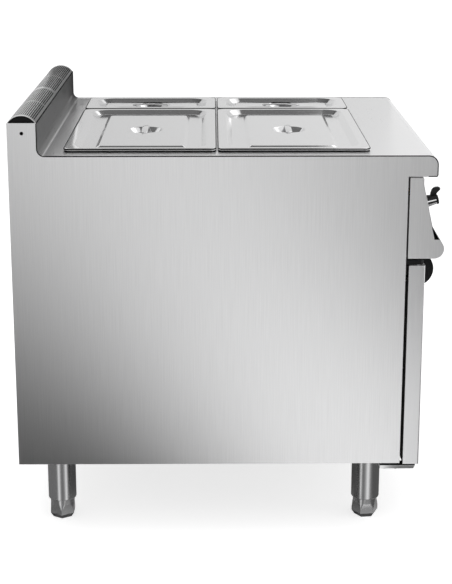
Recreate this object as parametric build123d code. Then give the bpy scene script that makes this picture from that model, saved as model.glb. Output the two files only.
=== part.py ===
from build123d import *
import math
import os

# Bain-marie with cabinet: a wet well with four covered pans over a two-door cupboard on legs.
# Millimetres. +Z is up, the doors face -Y, the origin is on the floor under the middle of the
# overall box. Depths are counted forwards from the rear face, distances across from the left side.

# Pans: they set the size of the worktop
PAN_LONG = 530.0            # large pans, across the unit
PAN_WIDE = 325.0            # every pan, along the unit's depth
PAN_SHORT = 176.0           # small pans, across the unit
PAN_DEPTH = 150.0
PAN_GAP = 3.0               # between neighbouring rims
PAN_T = 0.8
PAN_RIM_W = 12.5            # flat rim around the bowl
PAN_RIM_H = 6.0             # rolled edge, closed
PAN_RIM_R = 14.0
PAN_BOWL_R = 40.0
PAN_TAPER = 10.0            # how far each wall leans in over the depth
CORNER_FLAT_COUNT = 3       # straight presses that turn a drawn corner
REST_GAP = 0.3              # under every piece that lifts off

# Lids
LID_T = 0.8
LID_INSET = 1.0             # inside the pan's rim
LID_RIM_W = 14.0
LID_WALL_RUN = 13.0
LID_DIP = 10.0              # depth of the channel below the rim
LID_CHANNEL_W = 30.0
LID_CHANNEL_SMALL_W = 8.0
LID_STEP_RUN = 4.0
LID_CROWN_DROP = 2.5        # middle field below the rim
LID_CORNER_R = 38.0
LID_FIELD_R = 12.0          # corners of the middle field
DIMPLE_R = 40.0
DIMPLE_FLOOR_R = 30.0
DIMPLE_DEPTH = 16.0
DIMPLE_FLAT_COUNT = 16      # straight presses round a dimple
GRIP_W = 15.0
GRIP_T = 2.0
GRIP_LAP = 7.0              # on the lid beyond the dimple
GRIP_BEVEL = 3.0
GRIP_SMALL_TURN = 90.0      # small lids' straps against the large lids'

# Worktop and flue upstand
PANEL_T = 1.5
SIDE_DECK = 45.5            # worktop beside the pans
REAR_DECK = 48.5            # between upstand and pans
FRONT_DECK = 136.5          # in front of the pans
UPSTAND_D = 62.0
UPSTAND_H = 70.0
UPSTAND_FOLD = 12.0
COVE_R = 15.0
NOSE_R = 20.0
APRON_H = 45.0
APRON_HEM = 30.0
HEM_R = 4.0
FOLD_R = 3.0
RIM_SEAT = 11.0             # rim width that lies on the worktop
JOIN_HOLE_R = 3.75          # bolt hole to the neighbouring unit
JOIN_HOLE_UP = 48.0

# Flue grille
GRILLE_T = 1.2
GRILLE_RISE = 16.0
GRILLE_EDGE = 1.0           # inside the upstand's faces
GRILLE_SPLIT = 2.0          # between the two halves
GRILLE_SLOT_W = 3.2
GRILLE_LAND = 4.8           # between two rows of slots
GRILLE_BRIDGE = 8.0         # between two slots of a row
GRILLE_ROW_COUNT = 5
GRILLE_SLOT_COUNT = 4       # in a row
GRILLE_MARGIN = 11.0        # plain end of each half

# Well
TANK_T = 1.2
TANK_FLANGE = 12.0
WATER_H = 57.0              # from the pans' bottoms to the well's floor
BAR_W = 24.0
BAR_H = 25.0
BAR_T = 1.5

# Cabinet
BODY_H = 690.0
LEG_H = 160.0
OVERHANG = 62.0             # worktop nose in front of the side panels
FLANGE_W = 24.0             # side panels' front return
FLOOR_FLANGE = 16.0
VENT_L = 60.0
VENT_W = 6.0
VENT_BRIDGE = 30.0          # between two slots
VENT_COUNT = 7
VENT_UP = 60.0
RAIL_H = 27.0
RAIL_D = 40.0

# Control panel
CONTROL_GAP = 2.0           # under the worktop's apron
CONTROL_H = 176.0
CONTROL_REAR = 4.0          # in front of the side panels
CONTROL_SET = 28.5          # top edge behind the worktop's nose
CONTROL_LIP = 15.0
CONTROL_FACE_H = 90.0       # height of the sloping face
CONTROL_RUN = 20.5          # how far the sloping face comes forward
CONTROL_SIDE = 0.5          # inside the side panels' outer faces
CHIN_ANGLE = 31.0
CHIN_R = 21.0
CHIN_BEND_R = 10.0
NOTCH_H = 29.5              # end plates follow the slope this far past the bend

# Knob and thermostat
KNOB_SIDE = 70.0
KNOB_DROP_H = 53.0          # below the lip, down the face
KNOB_GAP = 0.6
BARREL_R = 13.2             # at the face
BARREL_END_R = 9.6
BARREL_L = 25.4
SADDLE_T = 1.2
SADDLE_HALF_ANGLE = 75.0
CAP_T = 4.0
LEAF_W = 9.0
LEAF_ROOT = 13.0            # where the leaf leaves the barrel, out from the face
LEAF_BACK = 20.5
LEAF_SHOULDER = 23.5
LEAF_CREST = 26.0
LEAF_BROW = 35.5
LEAF_H = 27.0               # above the knob's axis
LEAF_REACH = 38.5           # out from the face
LEAF_TIP_H = 20.5
LEAF_NECK = 27.0            # where the leaf's front edge meets the cap
SHAFT_R = 3.0
SHAFT_IN = 18.0
RUNNING_GAP = 0.05
THERMOSTAT_W = 42.0
THERMOSTAT_H = 36.0
THERMOSTAT_L = 32.0
LAMP_FIRST = 72.0           # from the knob to the first lamp
LAMP_STEP = 36.0
LAMP_W = 13.0
LAMP_H = 19.0
LAMP_LAP = 2.0              # bezel beyond the hole
LAMP_BEZEL_H = 3.0
LAMP_BODY_L = 26.0

# Heating element
ELEMENT_R = 4.25
ELEMENT_UP = 23.0           # above the well's floor
ELEMENT_SPAN = 420.0
ELEMENT_CORNER = 60.0
ELEMENT_REAR = 60.0
ELEMENT_TAIL = 26.0
ELEMENT_PLATE_W = 40.0
ELEMENT_PLATE_T = 4.0
ELEMENT_HOLE_W = 24.0

# Drain
DRAIN_FRONT = 62.0          # behind the well's front wall
DRAIN_SIDE = 55.0           # inside the well's right wall
PIPE_R = 13.0
PIPE_T = 2.0
SPOUT_L = 60.0
VALVE_L = 66.0
VALVE_END_R = 19.0
VALVE_END_L = 16.0
VALVE_W = 36.0
VALVE_BEVEL = 6.0
BOSS_R = 8.5
BOSS_L = 30.0
STEM_R = 4.0
STEM_DEPTH = 15.0
DRAIN_LEVER_L = 92.0
DRAIN_LEVER_W = 15.0
DRAIN_LEVER_T = 3.0
DRAIN_LEVER_BEVEL = 4.0
DRAIN_END_Z = 112.0
FLOOR_HOLE_GAP = 3.0

# Supply
BOX_W = 160.0
BOX_D = 60.0
BOX_H = 110.0
BOX_SIDE = 100.0
BOX_REAR = 4.0
BOX_LID_T = 2.0
BOX_LID_LAP = 3.0
GLAND_R = 14.0
GLAND_H = 26.0
GLAND_BORE_R = 8.0

# Doors
DOOR_T = 1.2
DOOR_D = 35.0
DOOR_BACK_GAP = 7.0         # in front of the side panels
DOOR_SIDE_GAP = 2.0
DOOR_MEET_GAP = 3.0
DOOR_TOP_GAP = 16.0         # under the control panel
DOOR_DROP = 3.0             # below the cabinet's underside
DOOR_EDGE_R = 3.0
LINER_T = 1.0
LINER_FLANGE = 12.0
HANDLE_R = 40.0
HANDLE_W = 116.0
HANDLE_DROP = 46.0          # middle of the grip below the door's top edge
HANDLE_WALL = 5.0
HANDLE_MOUTH_ANGLE = 30.0   # where the shell ends below the middle
MAGNET_W = 40.0
MAGNET_H = 12.0
MAGNET_SIDE = 5.0
MAGNET_GAP = 0.5

# Hinges
PIN_R = 4.0
PIN_FRONT = 14.0            # behind the door's front face
PIN_SIDE = 11.0             # inside the door's outer edge
PIN_IN = 13.0               # into the door
ARM_T = 10.0
ARM_W = 22.0
ARM_BEVEL = 6.0
ARM_GAP = 2.5               # above the door
ARM_LEG_T = 3.0
ARM_LEG_H = 25.0
PLATE_T = 8.0
PLATE_W = 26.0
PLATE_GAP = 3.0             # under the door
PLATE_REACH = 7.0           # in front of the pin
PLATE_BACK = 71.0           # behind the pin
PLATE_PAD = 34.0
PLATE_BEVEL = 4.0

# Legs
LEG_R = 31.5
LEG_END_Z = 47.0
LEG_REAR = 84.0
LEG_FRONT = 65.0            # behind the side panels' front edge
LEG_SIDE = 85.0
LEG_PLATE = 100.0
LEG_PLATE_T = 3.0
LEG_SOCKET = 70.0           # depth of the threaded end that takes the foot
NECK_R = 27.2
NECK_FLAT_COUNT = 24
FOOT_HEX_R = 31.5
FOOT_TOP_Z = 34.0
FOOT_TAPER_Z = 15.0
FOOT_BASE_R = 21.0

# Places that follow from the sizes above
WIDTH = PAN_LONG + PAN_SHORT + PAN_GAP + 2 * SIDE_DECK
PAN_START_D = UPSTAND_D + REAR_DECK
PAN_END_D = PAN_START_D + 2 * PAN_WIDE + PAN_GAP
NOSE_D = PAN_END_D + FRONT_DECK
CABINET_D = NOSE_D - OVERHANG
TOP_Z = LEG_H + BODY_H
UPSTAND_Z = TOP_Z + UPSTAND_H
APRON_Z = TOP_Z - APRON_H

TANK_D0 = PAN_START_D + RIM_SEAT
TANK_D1 = PAN_END_D - RIM_SEAT
TANK_W0 = SIDE_DECK + RIM_SEAT
TANK_W1 = WIDTH - SIDE_DECK - RIM_SEAT
PAN_BASE_Z = TOP_Z + REST_GAP + PAN_RIM_H - PAN_DEPTH
TANK_FLOOR_Z = PAN_BASE_Z - WATER_H

CONTROL_TOP_Z = APRON_Z - CONTROL_GAP
CONTROL_END_Z = CONTROL_TOP_Z - CONTROL_H
CONTROL_FRONT_D = NOSE_D - CONTROL_SET
LIP_Z = CONTROL_TOP_Z - CONTROL_LIP
BEND_D = CONTROL_FRONT_D + CONTROL_RUN
BEND_Z = LIP_Z - CONTROL_FACE_H
SLOPE = CONTROL_RUN / CONTROL_FACE_H
TILT = math.atan(SLOPE)
CHIN_TAN = math.tan(math.radians(CHIN_ANGLE))
CHIN_CORNER_D = BEND_D + (BEND_Z - CONTROL_END_Z) * CHIN_TAN
CHIN_CENTRE_D = (BEND_D + (BEND_Z - CONTROL_END_Z - CHIN_R) * CHIN_TAN
                 - CHIN_R / math.cos(math.radians(CHIN_ANGLE)))
CHIN_REACH_D = CHIN_CENTRE_D + CHIN_R

DOOR_BACK_D = CABINET_D + DOOR_BACK_GAP
DOOR_FRONT_D = DOOR_BACK_D + DOOR_D
DOOR_TOP_Z = CONTROL_END_Z - DOOR_TOP_GAP
DOOR_BASE_Z = LEG_H - DOOR_DROP
DOOR_W = (WIDTH - 2 * DOOR_SIDE_GAP - DOOR_MEET_GAP) / 2
PIN_D = DOOR_FRONT_D - PIN_FRONT
PIN_ACROSS = DOOR_SIDE_GAP + PIN_SIDE
HANDLE_Z = DOOR_TOP_Z - HANDLE_DROP
FLOOR_Z = LEG_H + FLOOR_FLANGE
RAIL_TOP_Z = CONTROL_END_Z
BACK_Y = max(DOOR_FRONT_D + HANDLE_R, CHIN_REACH_D) / 2
DRAIN_D = TANK_D1 - DRAIN_FRONT
DRAIN_ACROSS = TANK_W1 - DRAIN_SIDE
SPOUT_END_Z = TANK_FLOOR_Z - TANK_T - SPOUT_L
VALVE_Z = SPOUT_END_Z - VALVE_L / 2
GLAND_D = BOX_REAR + PANEL_T + BOX_D / 2
GLAND_ACROSS = WIDTH - PANEL_T - BOX_SIDE - BOX_W / 2


# Placing helpers

def x_at(across):
    """Row X of a point this far in from the left side panel's outer face."""
    return across - WIDTH / 2


def y_at(depth):
    """Row Y of a point this far in front of the rear face."""
    return BACK_Y - depth


def block(d0, d1, w0, w1, z0, z1):
    """Box between two depths, two distances across and two heights."""
    centre = Pos(x_at((w0 + w1) / 2), y_at((d0 + d1) / 2), (z0 + z1) / 2)
    return centre * Box(w1 - w0, d1 - d0, z1 - z0)


def post(depth, across, z0, z1, radius):
    """Upright cylinder between two heights."""
    return Pos(x_at(across), y_at(depth), (z0 + z1) / 2) * Cylinder(radius, z1 - z0)


def raised(face, z0, z1):
    """Upright prism on a face drawn from above."""
    return extrude(Pos(0, 0, z0) * face, z1 - z0, dir=(0, 0, 1))


def side_points(points):
    """Points of a side view, given as depth and height, in the sketch's own axes."""
    return [Vector(y_at(depth), height) for depth, height in points]


def side_face(points, radii):
    """Closed side view with rounded corners."""
    return make_face(FilletPolyline(*side_points(points), radius=radii, close=True))


def across(face, w0, w1):
    """Side view carried across the unit between two distances."""
    return Pos(x_at(w0), 0, 0) * extrude(Plane.YZ * face, w1 - w0, dir=(1, 0, 0))


def inner_skin(points, radii, thickness):
    """The inner skin of a folded sheet that lies to the left of its outer skin's points."""
    outer = side_points(points)
    headings = [(b - a).normalized() for a, b in zip(outer, outer[1:])]
    lefts = [Vector(-h.Y, h.X) for h in headings]
    inner = [outer[0] + lefts[0] * thickness]
    inner_radii = []
    for corner, left0, left1, heading, radius in zip(outer[1:], lefts, lefts[1:], headings, radii):
        inner.append(corner + (left0 + left1) * (thickness / (1 + left0.dot(left1))))
        turns_left = heading.dot(left1) < 0
        inner_radii.append(max(radius - thickness, 0) if turns_left else radius + thickness)
    inner.append(outer[-1] + lefts[-1] * thickness)
    return FilletPolyline(*inner, radius=inner_radii)


def folded(points, radii, thickness):
    """Side view of a folded sheet from the points of its outer skin."""
    outer = FilletPolyline(*side_points(points), radius=radii)
    inner = inner_skin(points, radii, thickness)
    ends = [Line(outer @ 0, inner @ 0), Line(outer @ 1, inner @ 1)]
    return make_face(outer.edges() + inner.edges() + ends)


def mirrored(part):
    """The same piece on the other side of the unit."""
    return mirror(part, Plane.YZ)


def on_slope(distance_across):
    """Axes on the control panel's sloping face: X across, Y up the face, Z outwards."""
    origin = (x_at(distance_across), y_at(CONTROL_FRONT_D + KNOB_DROP_H * SLOPE), LIP_Z - KNOB_DROP_H)
    return Plane(origin, x_dir=(1, 0, 0), z_dir=(0, -math.cos(TILT), math.sin(TILT)))


def tapered(radius, end_radius, z0, z1):
    """A round taper about Z between two heights."""
    return Pos(0, 0, (z0 + z1) / 2) * Cone(radius, end_radius, z1 - z0)


def standing(radius, z0, z1):
    """Cylinder along local Z between two heights."""
    return Pos(0, 0, (z0 + z1) / 2) * Cylinder(radius, z1 - z0)


# Casing

def side_panel():
    """Left side: one flag-shaped sheet with an ear beside the flue and a front return."""
    outline = side_face(
        [(0, LEG_H), (CABINET_D, LEG_H), (CABINET_D, APRON_Z), (NOSE_D, APRON_Z), (NOSE_D, TOP_Z),
         (UPSTAND_D, TOP_Z), (UPSTAND_D, UPSTAND_Z), (0, UPSTAND_Z)],
        [0, 0, 0, HEM_R, NOSE_R, COVE_R, 0, 0])
    sheet = across(outline, 0, PANEL_T)
    front = block(CABINET_D - PANEL_T, CABINET_D, PANEL_T, FLANGE_W, LEG_H, APRON_Z)
    hole = Pos(x_at(PANEL_T / 2), y_at(UPSTAND_D / 2), TOP_Z + JOIN_HOLE_UP) * Rot(0, 90, 0)
    return sheet + front - hole * Cylinder(JOIN_HOLE_R, 2 * PANEL_T)


def back_panel():
    """Rear sheet with a top fold for the grille and a row of air slots near the floor."""
    fold = [(UPSTAND_FOLD, UPSTAND_Z - PANEL_T), (PANEL_T, UPSTAND_Z - PANEL_T), (PANEL_T, FLOOR_Z)]
    sheet = across(folded(fold, [FOLD_R - PANEL_T], -PANEL_T), PANEL_T, WIDTH - PANEL_T)
    pitch = VENT_L + VENT_BRIDGE
    slots = Sketch() + GridLocations(pitch, pitch, VENT_COUNT, 1) * Rectangle(VENT_L, VENT_W)
    cutter = extrude(Plane.XZ * slots, 2 * PANEL_T, both=True)
    return sheet - Pos(0, y_at(0), FLOOR_Z + VENT_UP) * cutter


def cabinet_floor():
    """Floor sheet with turned-down edges, pierced for the drain pipe and the supply gland."""
    d0, d1 = 0, CABINET_D - PANEL_T
    w0, w1 = PANEL_T, WIDTH - PANEL_T
    tray = block(d0, d1, w0, w1, LEG_H, FLOOR_Z)
    tray -= block(d0 + PANEL_T, d1 - PANEL_T, w0 + PANEL_T, w1 - PANEL_T, LEG_H, FLOOR_Z - PANEL_T)
    tray -= post(DRAIN_D, DRAIN_ACROSS, LEG_H, FLOOR_Z, PIPE_R + FLOOR_HOLE_GAP)
    return tray - block(GLAND_D - GLAND_BORE_R, GLAND_D + GLAND_BORE_R, GLAND_ACROSS - GLAND_BORE_R,
                        GLAND_ACROSS + GLAND_BORE_R, LEG_H, FLOOR_Z)


def front_rail():
    """Angle across the cabinet's front that carries the control panel's lower edge."""
    angle = folded(
        [(CABINET_D - RAIL_D, RAIL_TOP_Z), (CABINET_D, RAIL_TOP_Z), (CABINET_D, RAIL_TOP_Z - RAIL_H)],
        [FOLD_R], PANEL_T)
    return across(angle, FLANGE_W, WIDTH - FLANGE_W)


def worktop():
    """Folded top: grille fold, upstand, cove, deck with the well's opening, round nose and hem."""
    skin = folded(
        [(UPSTAND_D - UPSTAND_FOLD, UPSTAND_Z), (UPSTAND_D, UPSTAND_Z), (UPSTAND_D, TOP_Z),
         (NOSE_D, TOP_Z), (NOSE_D, APRON_Z), (NOSE_D - APRON_HEM, APRON_Z)],
        [FOLD_R, COVE_R, NOSE_R, HEM_R], PANEL_T)
    deck = across(skin, PANEL_T, WIDTH - PANEL_T)
    return deck - block(TANK_D0, TANK_D1, TANK_W0, TANK_W1, TOP_Z - PANEL_T, TOP_Z)


def flue_grille(w0, w1):
    """Arched cover of half the flue, pierced by rows of slots."""
    chord = UPSTAND_D - 2 * GRILLE_EDGE
    radius = (chord ** 2 / 4 + GRILLE_RISE ** 2) / (2 * GRILLE_RISE)
    middle = Pos(y_at(UPSTAND_D / 2), UPSTAND_Z + GRILLE_RISE - radius)
    ring = middle * (Circle(radius) - Circle(radius - GRILLE_T))
    above = Pos(y_at(UPSTAND_D / 2), UPSTAND_Z + radius) * Rectangle(4 * radius, 2 * radius)
    arch = across(ring & above, w0, w1)
    pitch = (w1 - w0 - 2 * GRILLE_MARGIN + GRILLE_BRIDGE) / GRILLE_SLOT_COUNT
    places = GridLocations(pitch, GRILLE_SLOT_W + GRILLE_LAND, GRILLE_SLOT_COUNT, GRILLE_ROW_COUNT)
    slots = Sketch() + places * Rectangle(pitch - GRILLE_BRIDGE, GRILLE_SLOT_W)
    cutter = raised(slots, UPSTAND_Z, UPSTAND_Z + 2 * GRILLE_RISE)
    return arch - Pos(x_at((w0 + w1) / 2), y_at(UPSTAND_D / 2), 0) * cutter


CONTROL_SKIN = [
    (CABINET_D + CONTROL_REAR, CONTROL_TOP_Z), (CONTROL_FRONT_D, CONTROL_TOP_Z),
    (CONTROL_FRONT_D, LIP_Z), (BEND_D, BEND_Z), (CHIN_CORNER_D, CONTROL_END_Z),
    (CABINET_D - RAIL_D + FOLD_R, CONTROL_END_Z)]
CONTROL_RADII = [FOLD_R, HEM_R, CHIN_BEND_R, CHIN_R]


def control_panel():
    """Folded front with a sloping face and a round chin, pierced for the shaft and the lamps."""
    front = across(folded(CONTROL_SKIN, CONTROL_RADII, PANEL_T), CONTROL_SIDE, WIDTH - CONTROL_SIDE)
    # The lower fold reaches back over the rail only between the side panels
    for w0, w1 in ((0, FLANGE_W), (WIDTH - FLANGE_W, WIDTH)):
        front -= block(0, CABINET_D + CONTROL_REAR, w0, w1, CONTROL_END_Z, CONTROL_END_Z + PANEL_T)
    front -= on_slope(KNOB_SIDE) * standing(SHAFT_R + RUNNING_GAP, -2 * PANEL_T, PANEL_T)
    for place in lamp_places():
        front -= place * Box(LAMP_W, LAMP_H, 4 * PANEL_T)
    return front


def control_panel_end():
    """Left end plate inside the folded front, cut straight where the front bends into the chin."""
    skin = inner_skin(CONTROL_SKIN, CONTROL_RADII, PANEL_T)
    outline = make_face(skin.edges() + [Line(skin @ 1, skin @ 0)])
    plate = across(outline, CONTROL_SIDE, CONTROL_SIDE + PANEL_T)
    plate -= block(0, CABINET_D + CONTROL_REAR, 0, FLANGE_W, CONTROL_END_Z, CONTROL_TOP_Z)
    bend_d = BEND_D - PANEL_T
    notch = [(bend_d, BEND_Z), (bend_d + NOTCH_H * SLOPE, BEND_Z - NOTCH_H),
             (CHIN_CORNER_D, BEND_Z - NOTCH_H), (CHIN_CORNER_D, BEND_Z)]
    return plate - across(side_face(notch, [0, 0, 0, 0]), 0, FLANGE_W)


# Well

def well_tank():
    """Open welded well with a flange under the worktop, heater holes and a spout under its floor."""
    flange_z = TOP_Z - PANEL_T
    tank = block(TANK_D0 - TANK_T, TANK_D1 + TANK_T, TANK_W0 - TANK_T, TANK_W1 + TANK_T,
                 TANK_FLOOR_Z - TANK_T, flange_z)
    tank += block(TANK_D0 - TANK_FLANGE, TANK_D1 + TANK_FLANGE, TANK_W0 - TANK_FLANGE,
                  TANK_W1 + TANK_FLANGE, flange_z - TANK_T, flange_z)
    tank += post(DRAIN_D, DRAIN_ACROSS, SPOUT_END_Z, TANK_FLOOR_Z - TANK_T, PIPE_R)
    tank -= block(TANK_D0, TANK_D1, TANK_W0, TANK_W1, TANK_FLOOR_Z, flange_z)
    tank -= post(DRAIN_D, DRAIN_ACROSS, SPOUT_END_Z, TANK_FLOOR_Z, PIPE_R - PIPE_T)
    for line in element_lines():
        tank -= element_square(TANK_D1, TANK_D1 + TANK_T, line, ELEMENT_HOLE_W)
    return tank


def channel(length):
    """Channel with its back up, lying along X with its top at height zero."""
    outer = Pos(0, -BAR_H / 2) * Rectangle(BAR_W, BAR_H)
    inner = Pos(0, -(BAR_H + BAR_T) / 2) * Rectangle(BAR_W - 2 * BAR_T, BAR_H - BAR_T)
    return extrude(Plane.YZ * (outer - inner), length / 2, both=True)


def pan_bars():
    """Bars under the pans' inner rims: a long one across the well and two short ones along it."""
    middle_d = PAN_START_D + PAN_WIDE + PAN_GAP / 2
    cross_w = SIDE_DECK + PAN_LONG + PAN_GAP / 2
    bars = [Pos(0, y_at(middle_d), TOP_Z) * channel(TANK_W1 - TANK_W0)]
    for d0, d1 in ((TANK_D0, middle_d - BAR_W / 2), (middle_d + BAR_W / 2, TANK_D1)):
        turned = Rot(0, 0, 90) * channel(d1 - d0)
        bars.append(Pos(x_at(cross_w), y_at((d0 + d1) / 2), TOP_Z) * turned)
    return Compound(children=bars)


def element_lines():
    """Distances across of the heater's two ends."""
    return (WIDTH - ELEMENT_SPAN) / 2, (WIDTH + ELEMENT_SPAN) / 2


def element_square(d0, d1, line, width):
    """Square block around a heater end between two depths."""
    z = TANK_FLOOR_Z + ELEMENT_UP
    return block(d0, d1, line - width / 2, line + width / 2, z - width / 2, z + width / 2)


def heating_element():
    """Hairpin heater over the well's floor, its ends brazed in plates outside the front wall."""
    height = TANK_FLOOR_Z + ELEMENT_UP
    wall_d = TANK_D1 + TANK_T
    end_d = wall_d + ELEMENT_PLATE_T + ELEMENT_TAIL
    rear_d = TANK_D0 + ELEMENT_REAR
    w0, w1 = element_lines()
    route = [(w0, end_d), (w0, rear_d + ELEMENT_CORNER), (w0 + ELEMENT_CORNER, rear_d),
             (w1 - ELEMENT_CORNER, rear_d), (w1, rear_d + ELEMENT_CORNER), (w1, end_d)]
    path = Polyline(*[(x_at(w), y_at(d), height) for w, d in route])
    start = Plane(path @ 0, z_dir=path % 0)
    heater = sweep(start * RegularPolygon(ELEMENT_R, 6), path=path, transition=Transition.RIGHT)
    for line in (w0, w1):
        heater += element_square(wall_d, wall_d + ELEMENT_PLATE_T, line, ELEMENT_PLATE_W)
    return heater


# Pans and lids

def frame_size(long_side, inset):
    """Plan size of a pan or lid outline this far inside the pan's rim."""
    return long_side - 2 * inset, PAN_WIDE - 2 * inset


def corner_points(long_side, inset, radius):
    """Outline this far inside a pan's rim, its corners turned in a few straight presses."""
    length, width = frame_size(long_side, inset)
    points = []
    for quarter, side_x, side_y in ((0, 1, 1), (1, -1, 1), (2, -1, -1), (3, 1, -1)):
        for press in range(CORNER_FLAT_COUNT + 1):
            turn = math.radians(90 * (quarter + press / CORNER_FLAT_COUNT))
            points.append((side_x * (length / 2 - radius) + radius * math.cos(turn),
                           side_y * (width / 2 - radius) + radius * math.sin(turn)))
    return points


def ring_points(radius, count):
    """Points at equal steps round a circle."""
    turns = [2 * math.pi * step / count for step in range(count)]
    return [(radius * math.cos(turn), radius * math.sin(turn)) for turn in turns]


def walled(lower, z0, upper, z1):
    """Solid with flat walls between two outlines of as many points, at two heights."""
    low = [(x, y, z0) for x, y in lower]
    high = [(x, y, z1) for x, y in upper]
    loops = [low, high] + [[low[i - 1], low[i], high[i], high[i - 1]] for i in range(len(low))]
    return Solid(Shell([Face(Wire.make_polygon(loop)) for loop in loops]))


def drawn(long_side, inset0, z0, inset1, z1, radius0):
    """Solid between two outlines at two heights, the corners closing in with the walls."""
    lower = corner_points(long_side, inset0, radius0)
    upper = corner_points(long_side, inset1, radius0 + inset0 - inset1)
    return walled(lower, z0, upper, z1)


def pan(long_side):
    """Pan with a rolled rim and leaning walls, its rim's lower face at height zero."""
    base = PAN_RIM_H - PAN_DEPTH
    base_in = PAN_RIM_W + PAN_TAPER
    base_r = PAN_BOWL_R - PAN_TAPER
    rim = drawn(long_side, 0, 0, 0, PAN_RIM_H, PAN_RIM_R)
    bowl = drawn(long_side, base_in, base, PAN_RIM_W, PAN_RIM_H, base_r)
    hollow = drawn(long_side, base_in + PAN_T, base + PAN_T, PAN_RIM_W + PAN_T, PAN_RIM_H, base_r - PAN_T)
    return rim + bowl - hollow


def lid(long_side, channel_w):
    """Pressed lid: flat rim, leaning wall, channel, middle field and a round finger dimple."""
    wall_in = LID_INSET + LID_RIM_W
    floor_in = wall_in + LID_WALL_RUN
    step_in = floor_in + channel_w
    crown_in = step_in + LID_STEP_RUN
    floor_r = LID_CORNER_R - LID_WALL_RUN
    floor_z = LID_T - LID_DIP
    crown_z = LID_T - LID_CROWN_DROP
    sheet = drawn(long_side, LID_INSET, 0, LID_INSET, LID_T, PAN_RIM_R)
    sheet += drawn(long_side, floor_in, floor_z - LID_T, wall_in, 0, floor_r)
    sheet -= drawn(long_side, floor_in + LID_T, floor_z, wall_in + LID_T, LID_T, floor_r - LID_T)
    sheet += drawn(long_side, step_in, floor_z, crown_in, crown_z, LID_FIELD_R)
    sheet -= drawn(long_side, step_in + LID_T, floor_z - LID_T, crown_in + LID_T, crown_z - LID_T,
                   LID_FIELD_R - LID_T)
    dimple_z = crown_z - DIMPLE_DEPTH
    sheet += walled(ring_points(DIMPLE_FLOOR_R + LID_T, DIMPLE_FLAT_COUNT), dimple_z - LID_T,
                    ring_points(DIMPLE_R + LID_T, DIMPLE_FLAT_COUNT), crown_z)
    return sheet - walled(ring_points(DIMPLE_FLOOR_R, DIMPLE_FLAT_COUNT), dimple_z,
                          ring_points(DIMPLE_R, DIMPLE_FLAT_COUNT), crown_z)


def lid_grip(turn):
    """Strap across the dimple, its ends lapped on the middle field."""
    length = 2 * (DIMPLE_R + GRIP_LAP)
    outline = chamfer(Rectangle(length, GRIP_W).vertices(), GRIP_BEVEL)
    return Pos(0, 0, LID_T - LID_CROWN_DROP) * Rot(0, 0, turn) * raised(outline, 0, GRIP_T)


# Doors and hinges

def front_rounded(body, radius):
    """The body with its two upright front edges rounded."""
    return fillet(body.edges().filter_by(Axis.Z).sort_by(Axis.Y)[:2], radius)


def door_skin():
    """Left door's outer tray with holes for the hinge pins."""
    edge0, edge1 = DOOR_SIDE_GAP, DOOR_SIDE_GAP + DOOR_W
    tray = front_rounded(block(DOOR_BACK_D, DOOR_FRONT_D, edge0, edge1, DOOR_BASE_Z, DOOR_TOP_Z), DOOR_EDGE_R)
    hollow = block(DOOR_BACK_D, DOOR_FRONT_D - DOOR_T, edge0 + DOOR_T, edge1 - DOOR_T,
                   DOOR_BASE_Z + DOOR_T, DOOR_TOP_Z - DOOR_T)
    tray -= front_rounded(hollow, DOOR_EDGE_R - DOOR_T)
    return tray - post(PIN_D, PIN_ACROSS, DOOR_BASE_Z, DOOR_TOP_Z, PIN_R + RUNNING_GAP)


def door_liner():
    """Left door's inner tray, set in the back of the outer one."""
    edge0, edge1 = DOOR_SIDE_GAP + DOOR_T, DOOR_SIDE_GAP + DOOR_W - DOOR_T
    z0, z1 = DOOR_BASE_Z + DOOR_T, DOOR_TOP_Z - DOOR_T
    tray = block(DOOR_BACK_D, DOOR_BACK_D + LINER_FLANGE, edge0, edge1, z0, z1)
    return tray - block(DOOR_BACK_D + LINER_T, DOOR_BACK_D + LINER_FLANGE, edge0 + LINER_T,
                        edge1 - LINER_T, z0 + LINER_T, z1 - LINER_T)


def door_handle():
    """Half-round moulded pull on the left door, hollow and open below for the fingers."""
    middle = DOOR_SIDE_GAP + DOOR_W / 2
    w0, w1 = middle - HANDLE_W / 2, middle + HANDLE_W / 2
    centre = Pos(y_at(DOOR_FRONT_D), HANDLE_Z)
    ahead = Pos(y_at(DOOR_FRONT_D + HANDLE_R), HANDLE_Z) * Rectangle(2 * HANDLE_R, 4 * HANDLE_R)
    grip = across(centre * Circle(HANDLE_R) & ahead, w0, w1)
    hollow_r = HANDLE_R - HANDLE_WALL
    hollow = across(centre * Circle(hollow_r) & ahead, w0 + HANDLE_WALL, w1 - HANDLE_WALL)
    mouth_z = HANDLE_Z - HANDLE_R * math.sin(math.radians(HANDLE_MOUTH_ANGLE))
    mouth = block(DOOR_FRONT_D, DOOR_FRONT_D + HANDLE_R, w0 + HANDLE_WALL, w1 - HANDLE_WALL,
                  HANDLE_Z - HANDLE_R, mouth_z)
    return grip - hollow - mouth


def hinge_arm():
    """Left upper bracket: a leg on the side panel's return and a bevelled arm over the door."""
    base_z = DOOR_TOP_Z + ARM_GAP
    half = ARM_W / 2
    reach = PIN_D + half
    bracket = block(CABINET_D, CABINET_D + ARM_LEG_T, PIN_ACROSS - half, PIN_ACROSS + half,
                    base_z - ARM_LEG_H, base_z)
    corners = [(CABINET_D, -half), (reach - ARM_BEVEL, -half), (reach, ARM_BEVEL - half),
               (reach, half - ARM_BEVEL), (reach - ARM_BEVEL, half), (CABINET_D, half)]
    arm = Polygon(*[(x_at(PIN_ACROSS + side), y_at(depth)) for depth, side in corners], align=None)
    return bracket + raised(arm, base_z, base_z + ARM_T)


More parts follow.
